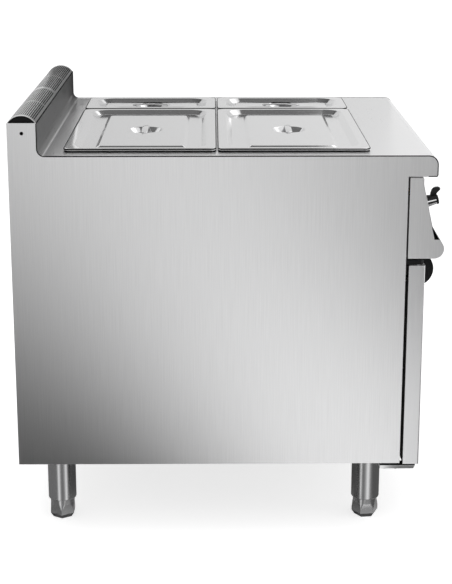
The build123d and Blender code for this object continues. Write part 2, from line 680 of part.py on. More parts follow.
def hinge_plate():
    """Left lower bracket: a bevelled plate under the door with a pad up to the cabinet's floor."""
    top_z = DOOR_BASE_Z - PLATE_GAP
    w0, w1 = 2 * PANEL_T, 2 * PANEL_T + PLATE_W
    back, front = PIN_D - PLATE_BACK, PIN_D + PLATE_REACH
    base_z = top_z - PLATE_T
    outline = [(back, top_z), (front, top_z), (front - PLATE_BEVEL, base_z), (back, base_z)]
    plate = across(side_face(outline, [0, 0, 0, 0]), w0, w1)
    return plate + block(back, back + PLATE_PAD, w0, w1, top_z, FLOOR_Z - PANEL_T)


def hinge_pins():
    """The four pins, welded to the brackets and free in the doors."""
    pins = []
    for w in (PIN_ACROSS, WIDTH - PIN_ACROSS):
        pins.append(post(PIN_D, w, DOOR_TOP_Z - PIN_IN, DOOR_TOP_Z + ARM_GAP, PIN_R))
        pins.append(post(PIN_D, w, DOOR_BASE_Z - PLATE_GAP, DOOR_BASE_Z + PIN_IN, PIN_R))
    return Compound(children=pins)


def door_magnets():
    """Two catches on the front rail, just behind the doors' free edges."""
    z1 = DOOR_TOP_Z
    catches = []
    for side in (-1, 1):
        near = WIDTH / 2 + side * (DOOR_MEET_GAP / 2 + MAGNET_SIDE)
        far = near + side * MAGNET_W
        catches.append(block(CABINET_D, DOOR_BACK_D - MAGNET_GAP, min(near, far), max(near, far),
                             z1 - MAGNET_H, z1))
    return Compound(children=catches)


# Knob, thermostat and lamps

def knob_barrel():
    """Plated barrel of the knob with the shaft that reaches into the thermostat."""
    barrel = tapered(BARREL_R, BARREL_END_R, KNOB_GAP, KNOB_GAP + BARREL_L)
    return on_slope(KNOB_SIDE) * (barrel + standing(SHAFT_R, -SHAFT_IN, KNOB_GAP))


def knob_lever():
    """Moulded cap over the barrel's upper side and end, with a leaf to turn it by."""
    cap_r = BARREL_END_R + SADDLE_T
    barrel_end = KNOB_GAP + BARREL_L
    cap_end = barrel_end + CAP_T
    reach = 2 * (BARREL_R + SADDLE_T)
    half = math.radians(SADDLE_HALF_ANGLE)
    fan = Polygon((0, 0), (reach * math.sin(half), reach * math.cos(half)), (reach, reach), (-reach, reach),
                  (-reach * math.sin(half), reach * math.cos(half)), align=None)
    barrel = tapered(BARREL_R, BARREL_END_R, KNOB_GAP, barrel_end)
    skin = tapered(BARREL_R + SADDLE_T, cap_r, KNOB_GAP, barrel_end)
    saddle = (skin - barrel) & raised(fan, KNOB_GAP, barrel_end)
    cap = standing(cap_r, barrel_end, cap_end)
    # The leaf in side view: distance out from the face, then distance up it
    leaf = Polygon((LEAF_ROOT, 0), (LEAF_BACK, LEAF_SHOULDER), (LEAF_CREST, LEAF_H), (LEAF_BROW, LEAF_H),
                   (LEAF_REACH, LEAF_TIP_H), (LEAF_NECK, cap_r), (LEAF_NECK, 0), align=None)
    side = Plane((0, 0, 0), x_dir=(0, 0, 1), z_dir=(-1, 0, 0))
    lever = extrude(side * leaf, LEAF_W / 2, both=True)
    lever -= barrel
    return on_slope(KNOB_SIDE) * (saddle + cap + lever)


def thermostat():
    """Thermostat body on the inside of the sloping face, bored for the knob's shaft."""
    body = Pos(0, 0, -PANEL_T - THERMOSTAT_L / 2) * Box(THERMOSTAT_W, THERMOSTAT_H, THERMOSTAT_L)
    return on_slope(KNOB_SIDE) * (body - standing(SHAFT_R + RUNNING_GAP, -SHAFT_IN - REST_GAP, 0))


def lamp_places():
    """Axes of the two lamps on the sloping face, in a row with the knob."""
    return [on_slope(KNOB_SIDE + LAMP_FIRST + lamp * LAMP_STEP) for lamp in range(2)]


def pilot_lamps():
    """Two snap-in lamps, each with a bezel on the sheet and a body behind it."""
    body = Pos(0, 0, -LAMP_BODY_L / 2) * Box(LAMP_W, LAMP_H, LAMP_BODY_L)
    bezel = Pos(0, 0, LAMP_BEZEL_H / 2) * Box(LAMP_W + 2 * LAMP_LAP, LAMP_H + 2 * LAMP_LAP, LAMP_BEZEL_H)
    return Compound(children=[place * (body + bezel) for place in lamp_places()])


# Drain and supply

def drain_valve():
    """Shut ball valve with hexagon ends and a stem boss that faces the doors."""
    here = Pos(x_at(DRAIN_ACROSS), y_at(DRAIN_D), VALVE_Z)
    middle = VALVE_L / 2 - VALVE_END_L
    body = raised(chamfer(Rectangle(VALVE_W, VALVE_W).vertices(), VALVE_BEVEL), -middle, middle)
    for z0 in (-VALVE_L / 2, middle):
        body += raised(RegularPolygon(VALVE_END_R, 6), z0, z0 + VALVE_END_L)
    body += Rot(90, 0, 0) * raised(RegularPolygon(BOSS_R, 6), 0, BOSS_L)
    return here * (body - Rot(90, 0, 0) * standing(STEM_R + RUNNING_GAP, BOSS_L - STEM_DEPTH, BOSS_L))


def drain_lever():
    """Quarter-turn lever on the valve's stem, level when the drain is shut."""
    here = Pos(x_at(DRAIN_ACROSS), y_at(DRAIN_D), VALVE_Z)
    start = BOSS_L + REST_GAP
    outline = chamfer(Rectangle(DRAIN_LEVER_L, DRAIN_LEVER_W).vertices(), DRAIN_LEVER_BEVEL)
    lever = raised(Pos((DRAIN_LEVER_L - DRAIN_LEVER_W) / 2, 0) * outline, start, start + DRAIN_LEVER_T)
    lever += standing(STEM_R, BOSS_L - STEM_DEPTH + REST_GAP, start)
    return here * Rot(90, 0, 0) * lever


def drain_pipe():
    """Pipe from the valve down through the cabinet's floor."""
    top_z = VALVE_Z - VALVE_L / 2
    pipe = post(DRAIN_D, DRAIN_ACROSS, DRAIN_END_Z, top_z, PIPE_R)
    return pipe - post(DRAIN_D, DRAIN_ACROSS, DRAIN_END_Z, top_z, PIPE_R - PIPE_T)


def terminal_box():
    """Closed supply box on the cabinet's floor, with a lapped lid towards the doors."""
    d0, w0 = GLAND_D - BOX_D / 2, GLAND_ACROSS - BOX_W / 2
    box = block(d0, d0 + BOX_D, w0, w0 + BOX_W, FLOOR_Z, FLOOR_Z + BOX_H)
    return box + block(d0 + BOX_D, d0 + BOX_D + BOX_LID_T, w0 - BOX_LID_LAP, w0 + BOX_W + BOX_LID_LAP,
                       FLOOR_Z + BOX_LID_LAP, FLOOR_Z + BOX_H + BOX_LID_LAP)


def cable_gland():
    """Supply gland under the cabinet's floor: a hexagon with a clear bore for the cord."""
    top_z = FLOOR_Z - PANEL_T
    body = raised(RegularPolygon(GLAND_R, 6), top_z - GLAND_H, top_z)
    bore = post(GLAND_D, GLAND_ACROSS, top_z - GLAND_H, top_z, GLAND_BORE_R)
    return Pos(x_at(GLAND_ACROSS), y_at(GLAND_D), 0) * body - bore


# Legs

def leg_places():
    """Depth and distance across of each leg by name."""
    rows = {"rear": LEG_REAR, "front": CABINET_D - LEG_FRONT}
    sides = {"left": LEG_SIDE, "right": WIDTH - LEG_SIDE}
    return {f"{row}_{side}": (rows[row], sides[side]) for row in rows for side in sides}


def leg_tubes():
    """Four legs on their plates, each with a threaded socket for its foot."""
    top_z = FLOOR_Z - PANEL_T
    half = LEG_PLATE / 2
    legs = []
    for depth, side in leg_places().values():
        leg = post(depth, side, LEG_END_Z, top_z, LEG_R)
        leg += block(depth - half, depth + half, side - half, side + half, top_z - LEG_PLATE_T, top_z)
        legs.append(leg - post(depth, side, LEG_END_Z, LEG_END_Z + LEG_SOCKET, NECK_R + RUNNING_GAP))
    return Compound(children=legs)


def foot(turn):
    """Levelling foot: hexagon with a tapered base and a threaded neck inside the leg."""
    hexagon = ring_points(FOOT_HEX_R, 6)
    neck = ring_points(NECK_R, NECK_FLAT_COUNT)
    body = walled(ring_points(FOOT_BASE_R, 6), 0, hexagon, FOOT_TAPER_Z)
    body += walled(hexagon, FOOT_TAPER_Z, hexagon, FOOT_TOP_Z)
    body += walled(neck, FOOT_TOP_Z, neck, LEG_END_Z + LEG_SOCKET - REST_GAP)
    return Rot(0, 0, turn) * body


# The whole unit, one entry for each piece

def pieces():
    """Every piece of the unit by name, in place."""
    half_split = GRILLE_SPLIT / 2
    named = {
        "side_panel_left": side_panel(),
        "side_panel_right": mirrored(side_panel()),
        "back_panel": back_panel(),
        "cabinet_floor": cabinet_floor(),
        "front_rail": front_rail(),
        "worktop": worktop(),
        "flue_grille_left": flue_grille(PANEL_T, WIDTH / 2 - half_split),
        "flue_grille_right": flue_grille(WIDTH / 2 + half_split, WIDTH - PANEL_T),
        "control_panel": control_panel(),
        "control_panel_end_left": control_panel_end(),
        "control_panel_end_right": mirrored(control_panel_end()),
        "well_tank": well_tank(),
        "pan_bars": pan_bars(),
        "heating_element": heating_element(),
        "hinge_arm_left": hinge_arm(),
        "hinge_arm_right": mirrored(hinge_arm()),
        "hinge_plate_left": hinge_plate(),
        "hinge_plate_right": mirrored(hinge_plate()),
        "hinge_pins": hinge_pins(),
        "door_magnets": door_magnets(),
        "door_left_skin": door_skin(),
        "door_left_liner": door_liner(),
        "door_left_handle": door_handle(),
        "door_right_skin": mirrored(door_skin()),
        "door_right_liner": mirrored(door_liner()),
        "door_right_handle": mirrored(door_handle()),
        "knob_barrel": knob_barrel(),
        "knob_lever": knob_lever(),
        "thermostat": thermostat(),
        "pilot_lamps": pilot_lamps(),
        "drain_valve": drain_valve(),
        "drain_lever": drain_lever(),
        "drain_pipe": drain_pipe(),
        "terminal_box": terminal_box(),
        "cable_gland": cable_gland(),
        "leg_tubes": leg_tubes(),
    }
    small_w = WIDTH - SIDE_DECK - PAN_SHORT / 2
    large_w = SIDE_DECK + PAN_LONG / 2
    rows = (("rear", PAN_START_D + PAN_WIDE / 2), ("front", PAN_END_D - PAN_WIDE / 2))
    sizes = (("large", large_w, PAN_LONG, LID_CHANNEL_W, 0),
             ("small", small_w, PAN_SHORT, LID_CHANNEL_SMALL_W, GRIP_SMALL_TURN))
    for size, middle_w, long_side, channel_w, turn in sizes:
        bowl, cover, strap = pan(long_side), lid(long_side, channel_w), lid_grip(turn)
        for row, depth in rows:
            rest = Pos(x_at(middle_w), y_at(depth), TOP_Z + REST_GAP)
            cover_rest = rest * Pos(0, 0, PAN_RIM_H + REST_GAP)
            named[f"pan_{row}_{size}"] = rest * bowl
            named[f"lid_{row}_{size}"] = cover_rest * cover
            named[f"lid_grip_{row}_{size}"] = cover_rest * strap
    for place, (depth, side) in leg_places().items():
        corner_first = 30 if place.startswith("rear") else 0
        named[f"foot_{place}"] = Pos(x_at(side), y_at(depth), 0) * foot(corner_first)
    return named


os.makedirs("parts", exist_ok=True)
for name, piece in pieces().items():
    export_step(piece, f"parts/{name}.step")
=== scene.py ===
import math

import bmesh
import bpy
from bpy.props import FloatProperty, FloatVectorProperty, PointerProperty
from mathutils import Matrix, Vector


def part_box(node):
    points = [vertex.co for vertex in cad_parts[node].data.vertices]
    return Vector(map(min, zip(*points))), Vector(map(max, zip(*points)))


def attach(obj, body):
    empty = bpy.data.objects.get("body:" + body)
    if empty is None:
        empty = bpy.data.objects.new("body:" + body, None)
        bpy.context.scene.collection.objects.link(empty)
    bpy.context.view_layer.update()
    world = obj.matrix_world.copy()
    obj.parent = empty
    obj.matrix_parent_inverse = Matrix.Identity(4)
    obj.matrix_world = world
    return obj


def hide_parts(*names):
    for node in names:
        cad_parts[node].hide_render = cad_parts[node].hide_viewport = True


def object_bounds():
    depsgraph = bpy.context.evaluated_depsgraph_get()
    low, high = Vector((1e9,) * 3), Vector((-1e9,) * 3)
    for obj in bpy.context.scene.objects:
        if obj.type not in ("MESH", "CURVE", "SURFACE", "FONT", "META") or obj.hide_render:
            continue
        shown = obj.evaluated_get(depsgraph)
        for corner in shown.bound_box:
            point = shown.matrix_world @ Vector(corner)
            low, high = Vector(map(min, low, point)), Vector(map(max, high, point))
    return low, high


bl_info = {
    "name": "Bain-marie with cabinet",
    "version": (1, 0, 0),
    "blender": (4, 5, 0),
    "location": "3D View > Sidebar > Bain-marie",
    "description": "Pressed lids, pans, pierced flue covers and brushed steel finishes around the CAD frame",
    "category": "Object",
}

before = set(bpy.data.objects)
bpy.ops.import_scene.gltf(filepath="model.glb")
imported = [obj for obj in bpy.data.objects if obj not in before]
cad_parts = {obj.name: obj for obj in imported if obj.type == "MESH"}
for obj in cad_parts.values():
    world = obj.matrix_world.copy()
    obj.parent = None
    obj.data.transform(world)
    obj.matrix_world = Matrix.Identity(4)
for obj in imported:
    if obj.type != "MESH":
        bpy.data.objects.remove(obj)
CAD_LOW, CAD_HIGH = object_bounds()

SIDES = ("left", "right")
ROWS = ("rear", "front")
PAN_NAMES = [f"{row}_{size}" for row in ROWS for size in ("large", "small")]
FOOT_NAMES = [f"{row}_{side}" for row in ROWS for side in SIDES]
FOOT_TURNS = (0.0, 20.0, 36.0, 50.0)  # degrees, as each foot happens to be screwed in
ASIDE, BACK, UP = Vector((1, 0, 0)), Vector((0, 1, 0)), Vector((0, 0, 1))
SAME_SPOT = 1e-6  # points nearer than this are one
SHARP_EDGE, FLAT_BEND = 34, 0.5  # degrees: edges that are rounded, bends that count as flat
SMOOTH_BELOW = 35.0  # degrees: bends that are shaded smooth
PAN_STEPS, LID_STEPS, SEAL_STEPS = 10, 18, 8  # steps of one rounded corner
ROLL_STEPS = 8  # steps of a pan's rolled edge
BEAD_SIDES, HEAD_SIDES, CAP_SIDES, FOOT_SIDES = 8, 12, 40, 84  # sides of round sections

# The photograph's camera: metres, degrees, and pixels of the photograph
CAMERA_AT = Vector((-3.296, 0.032, 1.418))
CAMERA_TILT, CAMERA_TURN = 14.17, 0.54
PHOTO_HEIGHT, PHOTO_FOCAL, PHOTO_SHIFT = 584, 1414.0, -60.0
SENSOR = 36.0

# Grain: scale of its noise along X, Y and Z for each way that a sheet is brushed
UPRIGHT, ALONG, DEEP = (520.0, 520.0, 9.0), (9.0, 520.0, 520.0), (520.0, 9.0, 520.0)
DRAWN = (420.0, 420.0, 8.0)  # along the legs
GRAIN_DEPTH = 0.0002
STEEL_CLOUDS, MOULDED_CLOUDS = 2.2, 26.0  # scale of the broad clouds
CLOUD_SHARE = 0.35  # how far the clouds shift a sheet's roughness within its range
MOULDED_DARK, MOULDED_LIGHT = 0.75, 1.35  # tones of moulded surfaces

# The leaf of the knob in millimetres: out from the face, up from the axis
LEAF = [(13.0, 4.0), (14.6, 11.6), (18.0, 19.6), (22.2, 24.9), (28.4, 27.2), (35.0, 26.4),
        (38.4, 23.4), (37.6, 19.8), (32.4, 16.2), (28.2, 12.4), (26.6, 4.0)]
LEAF_MIDDLE = (25.0, 15.0)
MM = 0.001

# Shade on the side panels: a bright band runs slantwise between two dark corners
BAND_AT = (0.166, 0.832)  # a place in the band, in metres across and up
BAND_ACROSS, BAND_UP = 356, 290  # steps away from the band for each metre
LOWER_FROM, LOWER_RUN = -40, 215  # where the lower corner's shade begins, and how far it deepens
UPPER_FROM, UPPER_RUN = 35, 150  # the same for the upper corner
HAZE, HAZE_TOP = 0.10, 0.8  # density at the panel's foot, and the height where it ends
SKIRT_OUT = 0.037  # skirts outside the leg plates


def length_prop(name, default, description):
    """A length that a user may change."""
    return FloatProperty(name=name, default=default, min=0.0, unit="LENGTH", precision=4,
                         description=description)


def colour_prop(name, default, description):
    """A linear colour that a user may change."""
    return FloatVectorProperty(name=name, default=default, size=3, subtype="COLOR", min=0.0, max=1.0,
                               description=description)


# Sizes and colours

class LidSizes(bpy.types.PropertyGroup):
    """Sizes of the pressed lids and their straps."""
    sheet: length_prop("Sheet", 0.0008, "Thickness of the lid's sheet")
    rim: length_prop("Rim", 0.014, "Width of the flat rim")
    rim_corner: length_prop("Rim corner", 0.013, "Corner radius of the rim's outer edge")
    lip: length_prop("Lip", 0.0013, "How far the rim's edge is turned down")
    wall_corner: length_prop("Wall corner", 0.046, "Corner radius where the wall leaves the rim")
    wall_run: length_prop("Wall run", 0.013, "How far the wall leans in")
    dip: length_prop("Dip", 0.010, "Depth of the channel below the rim")
    channel_large: length_prop("Large channel", 0.030, "Width of the channel on a large lid")
    channel_small: length_prop("Small channel", 0.008, "Width of the channel on a small lid")
    side_rim: length_prop("Side rim", 0.006, "Extra width of the rim at the lid's two sides")
    step: length_prop("Step", 0.007, "Run of the step up to the middle field")
    crown_drop: length_prop("Crown drop", 0.006, "Middle field below the rim")
    dimple: length_prop("Dimple radius", 0.040, "Radius of the finger dimple")
    dimple_floor: length_prop("Dimple floor", 0.028, "Radius of the dimple's floor")
    dimple_depth: length_prop("Dimple depth", 0.0125, "Depth of the dimple below the field")
    # The lid's seal is black to paint the shade in the gap under its rim
    seal: length_prop("Seal", 0.0018, "Height of the seal under the rim")
    gap: length_prop("Gap", 0.004, "How much shorter a lid is where two lids of a row meet")
    strap: length_prop("Strap width", 0.015, "Width of the strap over the dimple")
    strap_sheet: length_prop("Strap sheet", 0.002, "Thickness of the strap")
    strap_bow: length_prop("Strap bow", 0.0016, "Rise of the strap's middle")


class PanSizes(bpy.types.PropertyGroup):
    """Sizes of the drawn pans."""
    sheet: length_prop("Sheet", 0.0008, "Thickness of the pan's sheet")
    rim: length_prop("Rim", 0.0125, "Width of the flat rim")
    rim_corner: length_prop("Rim corner", 0.014, "Corner radius of the rim's outer edge")
    bead: length_prop("Bead", 0.0030, "Height of the rolled edge")
    drop: length_prop("Rim drop", 0.0015, "Rim below the seat of the lid")
    # The pan's seal is black to paint the shade between its rim and the worktop
    seal: length_prop("Seal", 0.0016, "Height of the seal under the rim")
    bowl_corner: length_prop("Bowl corner", 0.040, "Corner radius of the bowl at its rim")
    taper: length_prop("Taper", 0.010, "How far the walls lean in over the depth")
    floor_bend: length_prop("Floor bend", 0.018, "Radius between walls and floor")


class GrilleSizes(bpy.types.PropertyGroup):
    """Sizes of the pierced flue covers."""
    sheet: length_prop("Sheet", 0.0012, "Thickness of the cover")
    pitch: length_prop("Pitch", 0.1905, "Distance between two slots of a row")
    row: length_prop("Row step", 0.0043, "Distance between two rows of slots")
    slot: length_prop("Slot length", 0.1873, "Length of one slot")
    hole: length_prop("Slot radius", 0.0012, "Half the width of one slot")
    margin: length_prop("End margin", 0.008, "Plain end of each cover")
    edge: length_prop("Edge margin", 0.005, "Plain strip along each long edge")
    end_inset: length_prop("End inset", 0.004, "End plate inside the cover's end")


class CasingSizes(bpy.types.PropertyGroup):
    """Sizes of the casing's edges and of the seal between worktop and side panels."""
    sheet_edge: length_prop("Sheet edge", 0.0004, "Rounding of sheet edges")
    deck: length_prop("Deck", 0.850, "Height of the worktop")
    upstand: length_prop("Upstand", 0.062, "Depth of the flue upstand")
    cove: length_prop("Cove", 0.015, "Radius at the foot of the upstand")
    nose: length_prop("Nose", 0.020, "Radius of the worktop's front edge")
    hem: length_prop("Hem", 0.004, "Radius under the worktop's front edge")
    # The worktop's seal is black to paint the shade line along its joint with the side panels
    bead: length_prop("Seal bead", 0.0013, "Radius of the seal along the worktop's sides")


class FrontSizes(bpy.types.PropertyGroup):
    """Roundings, seals and fasteners of the doors."""
    sheet_edge: length_prop("Sheet edge", 0.0004, "Rounding of sheet edges")
    pull_edge: length_prop("Pull edge", 0.0022, "Rounding of the moulded pulls")
    hinge_edge: length_prop("Hinge edge", 0.0008, "Rounding of the hinge arms")
    plate_edge: length_prop("Plate edge", 0.0006, "Rounding of the hinge plates")
    # The door seal is black to paint the shade in the gap along the hinges
    seal: length_prop("Seal", 0.004, "Thickness of the door seal")
    seal_width: length_prop("Seal width", 0.020, "Width of the door seal")
    rivet: length_prop("Rivet radius", 0.0026, "Radius of a rivet's head")
    rivet_step: length_prop("Rivet step", 0.198, "Distance between two rivets")
    bolt: length_prop("Bolt radius", 0.0050, "Radius of a hexagon head")


class KnobSizes(bpy.types.PropertyGroup):
    """Sizes of the knob's moulded cap, in the axes of the sloping face."""
    lean: FloatProperty(name="Lean", default=math.radians(12.83), subtype="ANGLE", unit="ROTATION",
                        description="Lean of the face that carries the knob")
    barrel: length_prop("Barrel radius", 0.0132, "Radius of the plated barrel at the face")
    barrel_end: length_prop("Barrel end", 0.0096, "Radius of the plated barrel at its end")
    barrel_edge: length_prop("Barrel edge", 0.0008, "Rounding of the plated barrel")
    length: length_prop("Barrel length", 0.0254, "Length of the plated barrel")
    gap: length_prop("Gap", 0.0006, "Between the face and the knob")
    saddle: length_prop("Saddle", 0.0014, "Thickness of the cap over the barrel")
    cap: length_prop("Cap", 0.0045, "Thickness of the cap's end")
    round: length_prop("Cap rounding", 0.0034, "Rounding of the cap's end")
    leaf: length_prop("Leaf width", 0.0095, "Width of the leaf")
    tick: length_prop("Dial mark", 0.0040, "Length of a mark on the dial")
    dial: length_prop("Dial", 0.005, "From the cap to the marks")


class FootSizes(bpy.types.PropertyGroup):
    """Sizes of the levelling feet."""
    neck: length_prop("Neck radius", 0.0269, "Radius of the round neck")
    flat: length_prop("Flat", 0.0262, "From the middle to each of the six flats")
    base: length_prop("Base", 0.0195, "From the middle to each edge of the base")
    chamfer: length_prop("Chamfer height", 0.0115, "Height of the tapered base")
    shoulder: length_prop("Shoulder", 0.020, "Height where the corners begin to be turned off")
    top: length_prop("Top", 0.037, "Height where the hexagon runs out in the neck")
    leg_edge: length_prop("Leg edge", 0.0014, "Rounding of the legs' ends")


class FinishColours(bpy.types.PropertyGroup):
    """Base colours of the finishes."""
    casing: colour_prop("Casing steel", (0.73, 0.73, 0.733), "Brushed sheet of the casing")
    door: colour_prop("Door steel", (0.68, 0.68, 0.685), "Brushed sheet of the doors")
    pans: colour_prop("Pan steel", (0.72, 0.72, 0.725), "Bright satin sheet of pans and lids")
    feet: colour_prop("Foot steel", (0.62, 0.62, 0.625), "Turned steel of legs and feet")
    plated: colour_prop("Plating", (0.78, 0.78, 0.79), "Bright plated barrel and pins")
    moulding: colour_prop("Black moulding", (0.006, 0.006, 0.0065), "Gloss moulded pulls and knob")
    # Also the black of the flue covers' plates, which paint the shade inside the flue
    coating: colour_prop("Black coating", (0.008, 0.008, 0.0085), "Coated hinge arms and drain lever")


class StageLight(bpy.types.PropertyGroup):
    """Light of the plain studio."""
    key: FloatProperty(name="Key", default=20.0, min=0.0, unit="POWER", description="Lamp above the worktop")
    fill: FloatProperty(name="Fill", default=7.0, min=0.0, unit="POWER",
                        description="Lamp on the doors' side")
    room: FloatProperty(name="Room", default=0.5, min=0.0, description="Strength of the room's even light")


# Mesh helpers

def linked(name, mesh):
    """A new object at the origin for a mesh."""
    piece = bpy.data.objects.new(name, mesh)
    bpy.context.scene.collection.objects.link(piece)
    return piece


def plain_mesh(name, points, faces):
    """A mesh as its points and faces are given."""
    mesh = bpy.data.meshes.new(name)
    mesh.from_pydata([tuple(p) for p in points], [], faces)
    return mesh


def mesh_piece(name, shape, material, sharp):
    """A piece from points and faces, smooth except at edges sharper than this many degrees."""
    mesh = plain_mesh(name, *shape)
    bm = bmesh.new()
    bm.from_mesh(mesh)
    bmesh.ops.remove_doubles(bm, verts=bm.verts, dist=SAME_SPOT)
    bmesh.ops.recalc_face_normals(bm, faces=bm.faces)
    bm.to_mesh(mesh)
    bm.free()
    mesh.shade_smooth()
    mesh.set_sharp_from_angle(angle=math.radians(sharp))
    mesh.materials.append(material)
    return linked(name, mesh)


def placed(piece, body, slot, *nodes):
    """The piece rides on its body and stands for its CAD nodes; slot is not used."""
    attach(piece, body)
    if nodes:
        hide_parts(*nodes)


def put(name, shape, material, body, slot, *nodes, sharp=SMOOTH_BELOW):
    """A new piece from points and faces in its place."""
    placed(mesh_piece(name, shape, material, sharp), body, slot, *nodes)


def rounded_edges(piece, width, segments=2):
    """Rounds a piece's sharp edges and keeps its flats flat."""
    bevel = piece.modifiers.new("Edges", "BEVEL")
    bevel.width = width
    bevel.segments = segments
    bevel.limit_method = "ANGLE"
    bevel.angle_limit = math.radians(SHARP_EDGE)
    bevel.use_clamp_overlap = True
    flats = piece.modifiers.new("Flats", "WEIGHTED_NORMAL")
    flats.keep_sharp = True
    return piece


def dressed(node, material, width, body, slot, segments=2):
    """A merged copy of a CAD node with its sharp edges rounded takes the node's place."""
    bm = bmesh.new()
    bm.from_mesh(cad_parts[node].data)
    bmesh.ops.remove_doubles(bm, verts=bm.verts, dist=SAME_SPOT)
    bmesh.ops.dissolve_limit(bm, angle_limit=math.radians(FLAT_BEND), verts=bm.verts, edges=bm.edges)
    bm.verts.index_update()
    points = [v.co.copy() for v in bm.verts]
    faces = [[v.index for v in f.verts] for f in bm.faces]
    bm.free()
    piece = mesh_piece(f"{node}_sheet", (points, faces), material, SMOOTH_BELOW)
    placed(rounded_edges(piece, width, segments), body, slot, node)


def painted(finish, *nodes):
    """CAD nodes that keep their shape take a finish."""
    for node in nodes:
        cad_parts[node].data.materials[0] = finish


def middle_of(node):
    """The middle of a CAD node's box."""
    return sum(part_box(node), Vector()) / 2


def outer_side(low, high, sign):
    """X of the side of a box that is away from the cabinet's middle."""
    return high.x if sign > 0 else low.x


def clamped(share):
    """A share held between 0 and 1."""
    return min(max(share, 0.0), 1.0)


def eased(share):
    """A share held between 0 and 1 that starts and ends gently."""
    share = clamped(share)
    return share * share * (3 - 2 * share)


def turns(count):
    """Angles of equal steps round a circle."""
    return [math.tau * k / count for k in range(count)]


def circle(radius, z, count):
    """Points round the Z axis."""
    return [Vector((radius * math.cos(t), radius * math.sin(t), z)) for t in turns(count)]


def ring(centre, half_x, half_y, radius, z, steps):
    """Points round a rounded rectangle, corner by corner, anticlockwise seen from above."""
    points = []
    for quarter, sx, sy in ((0, 1, 1), (1, -1, 1), (2, -1, -1), (3, 1, -1)):
        for k in range(steps + 1):
            turn = math.radians(90 * (quarter + k / steps))
            points.append(Vector((centre.x + sx * (half_x - radius) + radius * math.cos(turn),
                                  centre.y + sy * (half_y - radius) + radius * math.sin(turn), z)))
    return points


def bent(corners, bends, steps):
    """A section's points with an arc of the given radius at each inner corner."""
    path = [Vector(corners[0])]
    for before, corner, after, radius in zip(corners, corners[1:], corners[2:], bends):
        corner = Vector(corner)
        to_before = (Vector(before) - corner).normalized()
        to_after = (Vector(after) - corner).normalized()
        half = to_before.angle(to_after) / 2
        reach = radius / math.tan(half)
        middle = corner + (to_before + to_after).normalized() * (radius / math.sin(half))
        start, end = corner + to_before * reach - middle, corner + to_after * reach - middle
        turn = start.angle_signed(end)
        path += [middle + Matrix.Rotation(-turn * k / steps, 2) @ start for k in range(steps + 1)]
    return path + [Vector(corners[-1])]


def smooth_loop(corners, steps):
    """A closed curve through the given points."""
    count = len(corners)
    loop = []
    for k in range(count):
        a, b, c, d = (Vector(corners[(k + n) % count]) for n in (-1, 0, 1, 2))
        for n in range(steps):
            t = n / steps
            loop.append(0.5 * (2 * b + (c - a) * t + (2 * a - 5 * b + 4 * c - d) * t ** 2
                               + (3 * b - a - 3 * c + d) * t ** 3))
    return loop


def skin(rings, first=True, last=True):
    """Points and faces through rings of equal count, with flat ends where asked."""
    count, total = len(rings[0]), len(rings) * len(rings[0])
    points = [point for loop in rings for point in loop]
    faces = []
    for start in range(0, total - count, count):
        for k in range(count):
            n = (k + 1) % count
            faces.append((start + k, start + n, start + count + n, start + count + k))
    if first:
        faces.append(tuple(range(count - 1, -1, -1)))
    if last:
        faces.append(tuple(range(total - count, total)))
    return points, faces


def together(*shapes):
    """Several shapes' points and faces as one shape."""
    points, faces = [], []
    for more, sides in shapes:
        start = len(points)
        points += more
        faces += [tuple(k + start for k in face) for face in sides]
    return points, faces


def box_shape(low, high):
    """Points and faces of a plain box between two corners."""
    points = [(x, y, z) for x in (low[0], high[0]) for y in (low[1], high[1]) for z in (low[2], high[2])]
    return points, [(0, 1, 3, 2), (4, 6, 7, 5), (0, 4, 5, 1), (2, 3, 7, 6), (0, 2, 6, 4), (1, 5, 7, 3)]


def hill(offset, spread):
    """A bell's height, 1 in the middle."""
    return math.exp(-(offset / spread) ** 2)


def level_grid(low, high, z, cells):
    """Points of a level grid between two corners, for the faces of quads."""
    return [(low.x + (high.x - low.x) * i / cells, low.y + (high.y - low.y) * k / cells, z)
            for i in range(cells + 1) for k in range(cells + 1)]


def quads(columns, rows):
    """Faces of a grid whose points run row by row within each column."""
    step = rows + 1
    return [(i * step + k, (i + 1) * step + k, (i + 1) * step + k + 1, i * step + k + 1)
            for i in range(columns) for k in range(rows)]


def rectangle(axis, place, low, high):
    """Corners of a rectangle that faces along an axis; the other two axes follow in turn."""
    corners = []
    for a, b in ((low[0], low[1]), (high[0], low[1]), (high[0], high[1]), (low[0], high[1])):
        spot = Vector()
        spot[axis], spot[(axis + 1) % 3], spot[(axis + 2) % 3] = place, a, b
        corners.append(spot)
    return corners


# Node helpers

NODE_STEP = 200  # from one node to the next in the editor


def set_inputs(tree, node, inputs):
    """Sets a node's inputs to values, or links them to other nodes' outputs."""
    for name, value in inputs.items():
        if isinstance(value, bpy.types.NodeSocket):
            tree.links.new(value, node.inputs[name])
        else:
            node.inputs[name].default_value = value


def add_node(tree, kind, inputs=None, **fields):
    """A node to the right of the last one, with its fields and inputs set."""
    made = tree.nodes.new(kind)
    made.location = (NODE_STEP * len(tree.nodes), 0)
    for field, value in fields.items():
        setattr(made, field, value)
    set_inputs(tree, made, inputs or {})
    return made


def add_math(tree, operation, *values, **fields):
    """The result of a sum on outputs and numbers."""
    made = add_node(tree, "ShaderNodeMath", dict(enumerate(values)), operation=operation, **fields)
    return made.outputs["Value"]


def ranged(tree, source, low, high):
    """A value from 0 to 1 spread between two others."""
    made = add_node(tree, "ShaderNodeMapRange", {"Value": source, "To Min": low, "To Max": high})
    return made.outputs["Result"]


def new_tree(name, kind, takes, gives):
    """A node group with its named inputs and outputs."""
    tree = bpy.data.node_groups.new(name, kind)
    for way, sockets in (("INPUT", takes), ("OUTPUT", gives)):
        for label, sort in sockets.items():
            tree.interface.new_socket(label, in_out=way, socket_type=f"NodeSocket{sort}")
    return tree


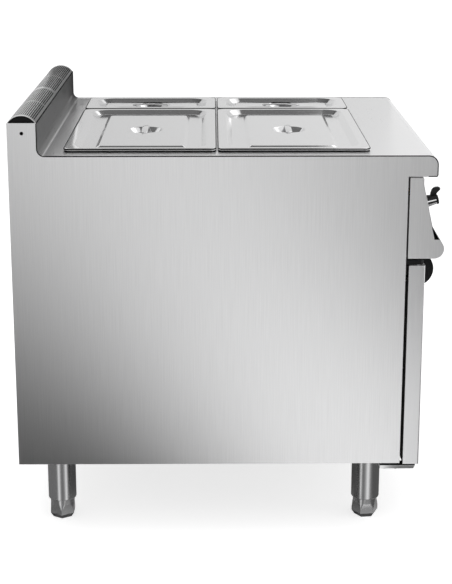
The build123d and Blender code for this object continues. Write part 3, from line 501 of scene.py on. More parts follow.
def new_material(name, inputs):
    """A node material whose Principled shader has these inputs."""
    made = bpy.data.materials.new(name)
    made.use_nodes = True
    shader = made.node_tree.nodes["Principled BSDF"]
    set_inputs(made.node_tree, shader, inputs)
    return made, made.node_tree, shader


# Finishes

def brushed_grain():
    """Group: long fine scratches and broad clouds, in the object's own coordinates."""
    found = bpy.data.node_groups.get("Brushed grain")
    if found:
        return found
    tree = new_tree("Brushed grain", "ShaderNodeTree", {"Stretch": "Vector", "Cloud Scale": "Float"},
                    {"Streak": "Float", "Cloud": "Float"})
    start = add_node(tree, "NodeGroupInput").outputs
    where = add_node(tree, "ShaderNodeTexCoord").outputs["Object"]
    stretch = add_node(tree, "ShaderNodeVectorMath", {0: where, 1: start["Stretch"]}, operation="MULTIPLY")
    fine = add_node(tree, "ShaderNodeTexNoise", {
        "Vector": stretch.outputs["Vector"], "Scale": 1.0, "Detail": 3.0, "Roughness": 0.62})
    cloud = add_node(tree, "ShaderNodeTexNoise", {
        "Vector": where, "Scale": start["Cloud Scale"], "Detail": 3.0})
    spread = add_node(tree, "ShaderNodeMapRange", {
        "Value": fine.outputs["Fac"], "From Min": 0.28, "From Max": 0.72})
    add_node(tree, "NodeGroupOutput", {"Streak": spread.outputs["Result"], "Cloud": cloud.outputs["Fac"]})
    return tree


def scaled(colour, factor):
    """A colour made lighter or darker."""
    return tuple(min(1.0, c * factor) for c in colour)


def grained(name, stretch, clouds, bump, inputs):
    """A material with the grain as relief, and what is needed to give it tone and roughness."""
    made, tree, shader = new_material(name, inputs)
    grain = add_node(tree, "ShaderNodeGroup", {"Stretch": stretch, "Cloud Scale": clouds},
                     node_tree=brushed_grain()).outputs
    relief = add_node(tree, "ShaderNodeBump", {
        "Strength": bump, "Distance": GRAIN_DEPTH, "Height": grain["Streak"]})
    set_inputs(tree, shader, {"Normal": relief.outputs["Normal"]})
    return made, tree, shader, grain


def toned(tree, shader, mask, dark, light, roughness):
    """Gives a shader its roughness, and a colour between two tones by a mask."""
    tone = add_node(tree, "ShaderNodeMix", {"Factor": mask, "A": (*dark, 1), "B": (*light, 1)},
                    data_type="RGBA")
    set_inputs(tree, shader, {"Base Color": tone.outputs["Result"], "Roughness": roughness})


def brushed(name, colour, stretch, low, high, bump=0.05, contrast=0.05):
    """Brushed steel: grain in colour, roughness and relief, stretched along the sheet. Its roughness
    lies between low and high."""
    found = bpy.data.materials.get(name)
    if found:
        return found
    made, tree, shader, grain = grained(name, stretch, STEEL_CLOUDS, bump, {"Metallic": 1.0})
    both = add_math(tree, "ADD", grain["Streak"], ranged(tree, grain["Cloud"], -CLOUD_SHARE, CLOUD_SHARE))
    toned(tree, shader, grain["Streak"], scaled(colour, 1 - contrast), scaled(colour, 1 + contrast),
          ranged(tree, both, low, high))
    return made


def coated(name, colour, low, high, fineness, bump, coat=0.0, gloss=0.5):
    """Moulded or coated surface: fine texture in relief, clouds in tone and in roughness, which lies
    between low and high."""
    found = bpy.data.materials.get(name)
    if found:
        return found
    made, tree, shader, grain = grained(name, [fineness] * 3, MOULDED_CLOUDS, bump,
                                        {"Coat Weight": coat, "Specular IOR Level": gloss})
    toned(tree, shader, grain["Cloud"], scaled(colour, MOULDED_DARK), scaled(colour, MOULDED_LIGHT),
          ranged(tree, grain["Cloud"], low, high))
    return made


def finishes():
    """The object's finishes by name."""
    own = bpy.context.scene.bainmarie_colours
    return {
        "casing": brushed("casing_steel", own.casing, UPRIGHT, 0.345, 0.355, bump=0.005, contrast=0.04),
        "deck": brushed("deck_steel", own.casing, ALONG, 0.27, 0.32, bump=0.002, contrast=0.015),
        "cover": brushed("cover_steel", own.casing, ALONG, 0.30, 0.40, bump=0.02, contrast=0.025),
        "door": brushed("door_steel", own.door, UPRIGHT, 0.28, 0.38, bump=0.02, contrast=0.025),
        "pans": brushed("satin_steel", own.pans, DEEP, 0.10, 0.17, bump=0.015, contrast=0.02),
        "feet": brushed("foot_steel", own.feet, DRAWN, 0.17, 0.27, bump=0.015, contrast=0.03),
        "plated": brushed("plated_steel", own.plated, [300.0] * 3, 0.06, 0.14, bump=0.01, contrast=0.02),
        "well": brushed("well_steel", scaled(own.casing, 0.9), [240.0] * 3, 0.32, 0.48, bump=0.03),
        "sheath": brushed("sheath_steel", (0.30, 0.27, 0.24), [90.0] * 3, 0.35, 0.60, contrast=0.35),
        "brass": brushed("cast_brass", (0.60, 0.50, 0.32), [120.0] * 3, 0.22, 0.40, contrast=0.08),
        "moulding": coated("black_moulding", own.moulding, 0.18, 0.32, 900.0, 0.015, gloss=0.22),
        # Black of the hinge arms, drain lever and dial marks, and of the flue plates that paint shade
        "coating": coated("black_coating_and_shade", own.coating, 0.40, 0.60, 1400.0, 0.08, gloss=0.15),
        # Black of the seals and packing that paint shade in gaps, and of the flue covers' seams
        "seal": coated("black_seal_and_shade", (0.008, 0.008, 0.008), 0.60, 0.80, 1200.0, 0.06, gloss=0.08),
        "box": coated("grey_moulding", (0.32, 0.33, 0.34), 0.45, 0.60, 1100.0, 0.06),
        "lens": coated("amber_lens", (0.72, 0.26, 0.03), 0.08, 0.16, 500.0, 0.04, coat=0.6),
    }


# Casing

class BAINMARIE_OT_casing(bpy.types.Operator):
    """Sheet edges and brushed finishes of the casing, worktop and control panel, and the worktop's black
    seals, which paint the shade line along its joints
    """
    bl_idname = "bainmarie.casing"
    bl_label = "Dress the casing"

    def execute(self, context):
        size = context.scene.bainmarie_casing
        finish = finishes()
        upright = ["side_panel_left", "side_panel_right", "control_panel_end_left", "control_panel_end_right"]
        for look, nodes in (("casing", upright), ("deck", ["worktop", "control_panel"])):
            for node in nodes:
                dressed(node, finish[look], size.sheet_edge, "cabinet", "steel_panel")
        painted(finish["casing"], "back_panel", "front_rail")
        painted(finish["deck"], "cabinet_floor")
        for side, sign in zip(SIDES, (-1, 1)):
            self.bead(side, sign, size, finish["seal"])
        return {"FINISHED"}

    def bead(self, side, sign, size, material):
        """The black seal in the joint between a side panel and the worktop, from the upstand down over the
        nose; its black paints the shade line along the joint.
        """
        low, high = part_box(f"side_panel_{side}")
        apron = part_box("worktop")[0].z
        ear, below_ear, under = high.y - size.upstand, 0.001, 0.02
        sunk_in, sunk_down = 0.45, 0.55  # shares of the bead's radius
        corners = [(ear, high.z - below_ear), (ear, size.deck), (low.y, size.deck), (low.y, apron),
                   (low.y + under, apron)]
        line = bent(corners, [size.cove, size.nose, size.hem], steps=8)
        ahead = [(b - a).normalized() for a, b in zip(line, line[1:])]
        ahead.append(ahead[-1])
        x = outer_side(low, high, sign) - sign * size.bead * sunk_in
        section = [(size.bead * math.cos(t), size.bead * (math.sin(t) - sunk_down))
                   for t in turns(BEAD_SIDES)]
        rings = []
        for k, spot in enumerate(line):
            way = (ahead[max(k - 1, 0)] + ahead[k]).normalized()
            over = Vector((0, way.y, -way.x))
            rings.append([Vector((x + sign * out, spot.x, spot.y)) + over * up for out, up in section])
        put(f"worktop_seal_{side}", skin(rings), material, "cabinet", "black_plastic")


class BAINMARIE_OT_inside(bpy.types.Operator):
    """Finishes of the well, heater, drain, supply and other pieces inside"""
    bl_idname = "bainmarie.inside"
    bl_label = "Finish the inside"

    def execute(self, context):
        finish = finishes()
        painted(finish["well"], "well_tank", "pan_bars", "drain_pipe")
        painted(finish["sheath"], "heating_element")
        painted(finish["brass"], "drain_valve")
        painted(finish["coating"], "drain_lever")
        painted(finish["box"], "terminal_box")
        painted(finish["moulding"], "cable_gland", "thermostat", "door_magnets")
        painted(finish["lens"], "pilot_lamps")
        return {"FINISHED"}


# Pans and lids

def pressed_corner(inset, rim, at_edge, at_wall, least):
    """Corner radius at an inset: it grows from the rim's edge to the wall, and from there the corners
    have one centre."""
    share = min(inset / rim, 1.0)
    return max(at_edge + (at_wall - at_edge) * share - max(0.0, inset - rim), least)


def shade_seal_ring(centre, half, corner, outer, inner, seat, face):
    """A flat black seal between two heights under a rim, which paints the shade in the gap there; outer and
    inner are insets from the rim's edge.
    """
    section = ((outer, seat), (outer, face), (inner, face), (inner, seat), (outer, seat))
    rings = [ring(centre, half.x - inset, half.y - inset, corner, z, SEAL_STEPS) for inset, z in section]
    return skin(rings, first=False, last=False)


class BAINMARIE_OT_pans(bpy.types.Operator):
    """Drawn pans with a rolled edge and smooth corners, and black seals under them that paint the shade
    between rim and worktop
    """
    bl_idname = "bainmarie.pans"
    bl_label = "Make the pans"

    def execute(self, context):
        size = context.scene.bainmarie_pans
        deck = context.scene.bainmarie_casing.deck
        finish = finishes()
        least_corner, seal_outer, seal_inner = 0.004, 0.0012, 0.008
        for name in PAN_NAMES:
            node = f"pan_{name}"
            low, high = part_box(node)
            centre, half = (low + high) / 2, (high - low) / 2
            rings = []
            for inset, z in self.section(size, low.z, high.z - size.drop):
                corner = pressed_corner(inset, size.rim, size.rim_corner, size.bowl_corner, least_corner)
                rings.append(ring(centre, half.x - inset, half.y - inset, corner, z, PAN_STEPS))
            put(f"{node}_drawn", skin(rings), finish["pans"], node, "pan_steel", node)
            # Painted shade: the black seal under the rim darkens the gap between rim and worktop
            seal = shade_seal_ring(centre, half, size.rim_corner, seal_outer, seal_inner, deck, deck + size.seal)
            put(f"pan_seal_{name}", seal, finish["seal"], "cabinet", "black_plastic")
        return {"FINISHED"}

    def section(self, size, base, top):
        """Inset from the rim's edge and height, from the floor's inside over the rim to its outside."""
        bead, rim_bend, neck_bend, floor_run = size.bead / 2, 0.004, 0.001, 0.06
        lean = size.taper / (top - base)
        inner_top = size.rim + size.sheet
        inner_base = inner_top + size.taper
        flat, floor = inner_base + floor_run, base + size.sheet
        inside = bent([(flat, floor), (inner_base, floor), (inner_top, top), (bead, top)],
                      [size.floor_bend, rim_bend], steps=6)
        roll = [Vector((bead - bead * math.sin(turn), top - bead + bead * math.cos(turn)))
                for turn in turns(2 * ROLL_STEPS)[1:ROLL_STEPS + 1]]
        outside = bent([(bead, top - size.bead), (size.rim + lean * size.bead, top - size.bead),
                        (size.rim + size.taper, base), (flat, base)],
                       [neck_bend, size.floor_bend + size.sheet], steps=6)
        return inside + roll + outside[1:]


class BAINMARIE_OT_lids(bpy.types.Operator):
    """Pressed lids with a rim, a channel, a middle field and a strap over a finger dimple, and black seals
    under their rims that paint the shade in the gap between lid and pan
    """
    bl_idname = "bainmarie.lids"
    bl_label = "Make the lids"

    def execute(self, context):
        size = context.scene.bainmarie_lids
        finish = finishes()
        seal_outer, seal_inner = -0.0006, 0.006
        for name in PAN_NAMES:
            node = f"lid_{name}"
            low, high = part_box(node)
            middle = (low + high) / 2
            top, under, crown = high.z, high.z - size.sheet, high.z - size.crown_drop
            if name.endswith("large"):
                high.x -= size.gap
                channel = size.channel_large
            else:
                low.x += size.gap
                channel = size.channel_small
            centre, half = (low + high) / 2, (high - low) / 2
            rings = self.field(size, centre, half, top, channel) + self.dimple(size, middle, crown)
            lid = mesh_piece(f"{node}_pressed", skin(rings, first=False), finish["pans"], sharp=50)
            if max(lid.data.polygons, key=lambda face: face.area).normal.z < 0:
                lid.data.flip_normals()
            sheet = lid.modifiers.new("Sheet", "SOLIDIFY")
            sheet.thickness = size.sheet
            sheet.offset = -1.0
            placed(lid, node, "pan_steel", node)
            self.strap(name, crown, size, finish["pans"])
            # Painted shade: the black seal under the rim darkens the gap between lid and pan
            seal = shade_seal_ring(centre, half, size.rim_corner, seal_outer, seal_inner, under, under - size.seal)
            put(f"lid_seal_{name}", seal, finish["seal"], node, "black_plastic")
        return {"FINISHED"}

    def field(self, size, centre, half, top, channel):
        """Rings from the rim's edge over the wall and the channel to the middle field."""
        floor, crown = top - size.dip, top - size.crown_drop
        wall_end = size.rim + size.wall_run
        foot = wall_end + channel
        head, margin, least_corner = foot + size.step, 0.012, 0.010
        lip_bend, wall_bend, step_bend = 0.0024, 0.004, 0.0015
        section = bent([(0, top - size.lip), (size.lip, top), (size.rim, top), (wall_end, floor),
                        (foot, floor), (head, crown), (head + margin, crown)],
                       [lip_bend, wall_bend, wall_bend, step_bend, step_bend], steps=5)
        rings = []
        for inset, z in section:
            corner = pressed_corner(inset, size.rim, size.rim_corner, size.wall_corner, least_corner)
            half_y = half.y - inset - size.side_rim * min(inset / size.rim, 1.0)
            rings.append(ring(centre, half.x - inset, half_y, corner, z, LID_STEPS))
        return rings

    def dimple(self, size, centre, crown):
        """Rings from the field down into the finger dimple."""
        base, lead, hub, brim_bend, floor_bend = crown - size.dimple_depth, 0.006, 0.004, 0.004, 0.008
        corners = [(size.dimple + lead, crown), (size.dimple, crown), (size.dimple_floor, base), (hub, base)]
        section = bent(corners, [brim_bend, floor_bend], steps=6)
        return [ring(centre, radius, radius, radius, z, LID_STEPS) for radius, z in section]

    def strap(self, name, crown, size, material):
        """The strap over a lid's dimple, bowed a little, with round ends."""
        node = f"lid_grip_{name}"
        low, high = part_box(node)
        centre, half = (low + high) / 2, (high - low) / 2
        reach, width, thick = max(half.x, half.y), size.strap / 2, size.strap_sheet
        edge, bowed, least_width, count = thick * 0.4, 0.8, 0.001, 24
        rings = []
        for k in range(count + 1):
            share = -1 + 2 * k / count
            z = crown + size.strap_bow * max(0.0, 1 - (share / bowed) ** 2) ** 2
            past = max(0.0, abs(share) * reach - reach + width)
            wide = max(width * math.sqrt(max(0.0, 1 - (past / width) ** 2)), least_width)
            flat = wide - edge
            section = [(-wide, edge), (-wide, thick - edge), (-flat, thick), (flat, thick),
                       (wide, thick - edge), (wide, edge), (flat, 0.0), (-flat, 0.0)]
            along = share * reach
            if half.y > half.x:
                rings.append([(centre.x + out, centre.y + along, z + up) for out, up in section])
            else:
                rings.append([(centre.x + along, centre.y + out, z + up) for out, up in section])
        put(f"{node}_bowed", skin(rings), material, f"lid_{name}", "pan_steel", node, sharp=60)


# Pierced flue covers

def pierced_tile(pitch, row, slot, hole, sheet):
    """One oblong of the pierced sheet with its slot, open at its sides."""
    wide, deep, reach = pitch / 2, row / 2, slot / 2 - hole
    right_up, left, right_down = (0, 30, 60, 90), range(90, 271, 30), (270, 300, 330)
    rim = [(1, t) for t in right_up] + [(-1, t) for t in left] + [(1, t) for t in right_down]
    steps, tip, corners = len(rim), 7, 6
    points, faces = [], []
    for z in (0.0, -sheet):
        points += [(-wide, 0, z), (wide, 0, z), (wide, deep, z), (-wide, deep, z), (-wide, -deep, z),
                   (wide, -deep, z)]
        points += [(end * reach + hole * math.cos(math.radians(t)), hole * math.sin(math.radians(t)), z)
                   for end, t in rim]
    below = corners + steps
    over = [corners + k for k in range(tip, -1, -1)]
    under = [corners + k % steps for k in range(steps, tip - 1, -1)]
    for loop in ([0, *over, 1, 2, 3], [1, *under, 0, 4, 5]):
        faces += [loop, [below + k for k in reversed(loop)]]
    for k in range(corners, below):
        n = corners + (k + 1 - corners) % steps
        faces.append([n, k, below + k, below + n])
    return plain_mesh("pierced_tile", points, faces)


def pierced_tree(tile, material):
    """Geometry nodes: rows of pierced oblongs with plain margins, bent over an arch."""
    lengths = ("Length", "Arc", "Pitch", "Row", "Sheet", "Radius", "Middle X", "Middle Y", "Middle Z")
    takes = {**dict.fromkeys(lengths, "Float"), "Columns": "Int", "Rows": "Int"}
    tree = new_tree("Pierced arch", "GeometryNodeTree", takes, {"Geometry": "Geometry"})
    tree.is_modifier = True
    value = add_node(tree, "NodeGroupInput").outputs

    def result(operation, *values):
        return add_math(tree, operation, *values)

    def vector(**parts):
        return add_node(tree, "ShaderNodeCombineXYZ", parts).outputs["Vector"]

    # Rows of pierced oblongs, welded where they meet
    same_spot, end_cuts, edge_cuts = 0.00002, 40, 6
    wide = result("MULTIPLY", value["Columns"], value["Pitch"])
    high = result("MULTIPLY", value["Rows"], value["Row"])
    grid = add_node(tree, "GeometryNodeMeshGrid", {
        "Size X": result("SUBTRACT", wide, value["Pitch"]), "Size Y": result("SUBTRACT", high, value["Row"]),
        "Vertices X": value["Columns"], "Vertices Y": value["Rows"]})
    shape = add_node(tree, "GeometryNodeObjectInfo", {"Object": tile})
    rows = add_node(tree, "GeometryNodeInstanceOnPoints", {
        "Points": grid.outputs["Mesh"], "Instance": shape.outputs["Geometry"]})
    real = add_node(tree, "GeometryNodeRealizeInstances", {"Geometry": rows.outputs["Instances"]})
    welded = add_node(tree, "GeometryNodeMergeByDistance", {
        "Geometry": real.outputs["Geometry"], "Distance": same_spot})

    # Plain margins at both ends and along both edges
    joined = add_node(tree, "GeometryNodeJoinGeometry", {"Geometry": welded.outputs["Geometry"]})
    half_sheet = result("MULTIPLY", value["Sheet"], -0.5)
    end_wide = result("MULTIPLY", result("SUBTRACT", value["Length"], wide), 0.5)
    edge_wide = result("MULTIPLY", result("SUBTRACT", value["Arc"], high), 0.5)
    end_at = result("MULTIPLY", result("SUBTRACT", value["Length"], end_wide), 0.5)
    edge_at = result("MULTIPLY", result("SUBTRACT", value["Arc"], edge_wide), 0.5)
    end_size = vector(X=end_wide, Y=value["Arc"], Z=value["Sheet"])
    edge_size = vector(X=wide, Y=edge_wide, Z=value["Sheet"])
    for side in (-1.0, 1.0):
        end_place = vector(X=result("MULTIPLY", end_at, side), Z=half_sheet)
        edge_place = vector(Y=result("MULTIPLY", edge_at, side), Z=half_sheet)
        for size, place, cuts in ((end_size, end_place, end_cuts), (edge_size, edge_place, edge_cuts)):
            strip = add_node(tree, "GeometryNodeMeshCube", {"Size": size, "Vertices Y": cuts})
            moved = add_node(tree, "GeometryNodeTransform", {
                "Geometry": strip.outputs["Mesh"], "Translation": place})
            set_inputs(tree, joined, {"Geometry": moved.outputs["Geometry"]})

    # The flat sheet bent round the arch
    where = add_node(tree, "GeometryNodeInputPosition").outputs["Position"]
    spot = add_node(tree, "ShaderNodeSeparateXYZ", {"Vector": where}).outputs
    turn = result("DIVIDE", spot["Y"], value["Radius"])
    out = result("ADD", spot["Z"], value["Radius"])
    place = vector(X=result("ADD", spot["X"], value["Middle X"]),
                   Y=result("ADD", result("MULTIPLY", out, result("SINE", turn)), value["Middle Y"]),
                   Z=result("ADD", result("MULTIPLY", out, result("COSINE", turn)), value["Middle Z"]))
    bend = add_node(tree, "GeometryNodeSetPosition", {
        "Geometry": joined.outputs["Geometry"], "Position": place})
    done = add_node(tree, "GeometryNodeSetMaterial", {
        "Geometry": bend.outputs["Geometry"], "Material": material})
    add_node(tree, "NodeGroupOutput", {"Geometry": done.outputs["Geometry"]})
    return tree


def grown(name, tree, values, material, start=None):
    """The plain mesh that a geometry tree makes with these inputs."""
    carrier = linked(f"{name}_carrier", start or bpy.data.meshes.new(f"{name}_carrier"))
    modifier = carrier.modifiers.new("Nodes", "NODES")
    modifier.node_group = tree
    sockets = {s.name: s.identifier for s in tree.interface.items_tree if s.in_out == "INPUT"}
    for socket, value in values.items():
        modifier[sockets[socket]] = value
    graph = bpy.context.evaluated_depsgraph_get()
    mesh = bpy.data.meshes.new_from_object(carrier.evaluated_get(graph))
    carrier.modifiers.remove(modifier)
    bpy.data.objects.remove(carrier)
    if not mesh.polygons:
        raise RuntimeError(f"{name} came out empty")
    mesh.name = name
    mesh.shade_smooth()
    mesh.set_sharp_from_angle(angle=math.radians(SMOOTH_BELOW))
    mesh.materials.clear()
    mesh.materials.append(material)
    return linked(name, mesh)


class BAINMARIE_OT_grilles(bpy.types.Operator):
    """Arched flue covers pierced by rows of fine slots, with dark seams and black plates behind them; the
    plates paint the shade inside the flue
    """
    bl_idname = "bainmarie.grilles"
    bl_label = "Pierce the flue covers"

    def execute(self, context):
        size = context.scene.bainmarie_grilles
        finish = finishes()
        tile = linked("pierced_tile", pierced_tile(size.pitch, size.row, size.slot, size.hole, size.sheet))
        tree = pierced_tree(tile, finish["cover"])
        for side in SIDES:
            node = f"flue_grille_{side}"
            low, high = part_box(node)
            centre = (low + high) / 2
            chord, rise, length = high.y - low.y, high.z - low.z, high.x - low.x
            radius = (chord ** 2 / 4 + rise ** 2) / (2 * rise)
            half_turn = math.asin(chord / 2 / radius)
            arc = 2 * radius * half_turn
            values = {"Length": length, "Arc": arc, "Pitch": size.pitch, "Row": size.row, "Sheet": size.sheet,
                      "Radius": radius, "Middle X": centre.x, "Middle Y": centre.y,
                      "Middle Z": high.z - radius, "Columns": int((length - 2 * size.margin) / size.pitch),
                      "Rows": int((arc - 2 * size.edge) / size.row)}
            cover = grown(f"{node}_pierced", tree, values, finish["cover"])
            placed(cover, "cabinet", "steel_panel", node)
            self.shade_baffle(side, low, high, finish["coating"])
            self.shade_end_plate(side, size, radius, half_turn, finish["coating"])
            self.seam(side, low, high, finish["seal"])
        bpy.data.objects.remove(tile)
        return {"FINISHED"}

    def shade_baffle(self, side, low, high, material):
        """The black plate under a cover's slots, which paints the shade inside the flue that the slots show.
        """
        end, edge, lift, thickness = 0.001, 0.002, 0.0004, 0.0008
        base = low.z + lift
        shape = box_shape((low.x + end, low.y + edge, base), (high.x - end, high.y - edge, base + thickness))
        put(f"flue_baffle_{side}", shape, material, "cabinet", "black_metal")

    def seam(self, side, low, high, material):
        """The dark seam along a cover's front edge."""
        proud, lap, lift = 0.0016, 0.0002, 0.0004
        shape = box_shape((low.x, low.y - proud, low.z - proud), (high.x, low.y + lap, low.z + lift))
        put(f"flue_seam_{side}", shape, material, "cabinet", "black_plastic")

    def shade_end_plate(self, side, size, radius, half_turn, material):
        """The black plate that closes the outer end of a flue cover under its arch, which paints the shade in
        the open end.
        """
        low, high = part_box(f"flue_grille_{side}")
        thickness, steps, share = 0.001, 16, 0.95
        start = low.x + size.end_inset if side == "left" else high.x - size.end_inset - thickness
        arch = [share * half_turn * (2 * k / steps - 1) for k in range(steps + 1)]
        inner, axis_y, axis_z = radius - size.sheet, (low.y + high.y) / 2, high.z - radius
        rings = [[(x, axis_y + inner * math.sin(t), axis_z + inner * math.cos(t)) for t in arch]
                 for x in (start, start + thickness)]
        put(f"flue_end_{side}", skin(rings), material, "cabinet", "black_metal")


# Small heads and marks

def dome_head(name, radius, height):
    """A low round head with its seat at the origin, axis up; the outline is in shares of its sizes."""
    outline = ((1.0, -0.2), (1.0, 0.25), (0.78, 0.75), (0.36, 1.0))
    return plain_mesh(name, *skin([circle(radius * wide, height * up, HEAD_SIDES) for wide, up in outline]))


def bolt_head(name, radius, height):
    """A hexagon head on a round washer with its seat at the origin, axis up."""
    sunk, washer_wide, washer_top, chamfer_wide, chamfer_from = 0.0003, 1.5, 0.2, 0.86, 0.85
    washer = skin([circle(radius * washer_wide, z, HEAD_SIDES) for z in (-sunk, radius * washer_top)])
    outline = ((1.0, radius * washer_top / 2), (1.0, height * chamfer_from), (chamfer_wide, height))
    hexagon = skin([circle(radius * wide, z, 6) for wide, z in outline])
    return plain_mesh(name, *together(washer, hexagon))


def tick_head(name, length):
    """A thin printed mark that lies along Y, its face up."""
    wide, thick = length / 8, 0.00012
    return plain_mesh(name, *box_shape((-wide, 0.0, -thick), (wide, length, thick)))


def fastener_tree():
    """Geometry nodes: one head on each point, turned to the way the point faces and lies."""
    tree = bpy.data.node_groups.get("Fasteners")
    if tree:
        return tree
    takes = {"Geometry": "Geometry", "Head": "Object", "Finish": "Material"}
    tree = new_tree("Fasteners", "GeometryNodeTree", takes, {"Geometry": "Geometry"})
    tree.is_modifier = True
    start = add_node(tree, "NodeGroupInput").outputs
    turn = {}
    for field, axis, pivot in (("facing", "Z", "AUTO"), ("along", "Y", "Z")):
        way = add_node(tree, "GeometryNodeInputNamedAttribute", {"Name": field}, data_type="FLOAT_VECTOR")
        aimed = add_node(tree, "FunctionNodeAlignRotationToVector", {
            **turn, "Vector": way.outputs["Attribute"]}, axis=axis, pivot_axis=pivot)
        turn = {"Rotation": aimed.outputs["Rotation"]}
    shape = add_node(tree, "GeometryNodeObjectInfo", {"Object": start["Head"]})
    heads = add_node(tree, "GeometryNodeInstanceOnPoints", {
        "Points": start["Geometry"], "Instance": shape.outputs["Geometry"], **turn})
    real = add_node(tree, "GeometryNodeRealizeInstances", {"Geometry": heads.outputs["Instances"]})
    done = add_node(tree, "GeometryNodeSetMaterial", {
        "Geometry": real.outputs["Geometry"], "Material": start["Finish"]})
    add_node(tree, "NodeGroupOutput", {"Geometry": done.outputs["Geometry"]})
    return tree


def fastened(name, head, places, material):
    """Heads on places, each given by a point, the way it faces and the way it lies."""
    mesh = plain_mesh(f"{name}_points", [place[0] for place in places], [])
    for field, pick in (("facing", 1), ("along", 2)):
        values = [c for place in places for c in place[pick]]
        mesh.attributes.new(field, "FLOAT_VECTOR", "POINT").data.foreach_set("vector", values)
    pattern = linked(f"{name}_head", head)
    made = grown(name, fastener_tree(), {"Head": pattern, "Finish": material}, material, mesh)
    bpy.data.objects.remove(pattern)
    return made


# Doors, knob and legs

class BAINMARIE_OT_doors(bpy.types.Operator):
    """Door trays with their black seals, which paint the shade in the gap by the hinges, moulded pulls, hinge
    arms, plates and pins
    """
    bl_idname = "bainmarie.doors"
    bl_label = "Dress the doors"

    def execute(self, context):
        size = context.scene.bainmarie_front
        finish = finishes()
        for side, sign in zip(SIDES, (-1, 1)):
            body = f"door_{side}"
            dressed(f"{body}_skin", finish["door"], size.sheet_edge, body, "steel_door")
            dressed(f"{body}_handle", finish["moulding"], size.pull_edge, body, "black_plastic", segments=3)
            painted(finish["door"], f"{body}_liner")
            self.seal(side, sign, size, finish)
            dressed(f"hinge_arm_{side}", finish["coating"], size.hinge_edge, "cabinet", "black_metal")
            dressed(f"hinge_plate_{side}", finish["casing"], size.plate_edge, "cabinet", "steel_panel")
            self.shade_packing(side, sign, finish["seal"])
        painted(finish["plated"], "hinge_pins")
        return {"FINISHED"}

    def seal(self, side, sign, size, finish):
        """The seal on a door's back along the hinges, held by rivets; it is black to paint the shade in the
        gap there.
        """
        body = f"door_{side}"
        inset, sunk, edge, below_arm, above_foot = 0.002, 0.0005, 0.0008, 0.004, 0.010
        rivet_inset, first_rivet, rivet_height, rivets = 0.009, 0.022, size.rivet * 0.4, 3
        low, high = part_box(f"{body}_liner")
        outer = outer_side(low, high, sign)
        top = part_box(f"hinge_arm_{side}")[0].z - below_arm
        x0, x1 = sorted((outer - sign * inset, outer - sign * (inset + size.seal_width)))
        strip = box_shape((x0, high.y - sunk, low.z + above_foot), (x1, high.y + size.seal, top))
        strip = mesh_piece(f"{body}_seal", strip, finish["seal"], SMOOTH_BELOW)
        placed(rounded_edges(strip, edge), body, "black_plastic")
        head = dome_head("rivet_head", size.rivet, rivet_height)
        start = Vector((outer - sign * rivet_inset, high.y + size.seal, low.z + first_rivet))
        places = [(start + UP * k * size.rivet_step, BACK, UP) for k in range(rivets)]
        placed(fastened(f"{body}_rivets", head, places, finish["plated"]), body, "bright_steel")

    def shade_packing(self, side, sign, material):
        """Black packing on a lower hinge plate, under the door and behind it, which paints the shade in the
        gap there.
        """
        low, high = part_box(f"hinge_plate_{side}")
        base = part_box(f"side_panel_{side}")[0].z
        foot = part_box(f"door_{side}_skin")[0].z
        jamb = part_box(f"hinge_arm_{side}")[1].y
        height, width, gap, front_inset, proud = 0.003, 0.020, 0.0004, 0.0005, 0.0006
        outer = outer_side(low, high, sign)
        x0, x1 = sorted((outer + sign * proud, outer - sign * width))
        for name, y0, y1, top in (("front", low.y + front_inset, jamb, foot - gap),
                                  ("rear", jamb, high.y + proud, base)):
            block = box_shape((x0, y0, foot - height), (x1, y1, top))
            put(f"hinge_packing_{name}_{side}", block, material, "cabinet", "black_plastic")


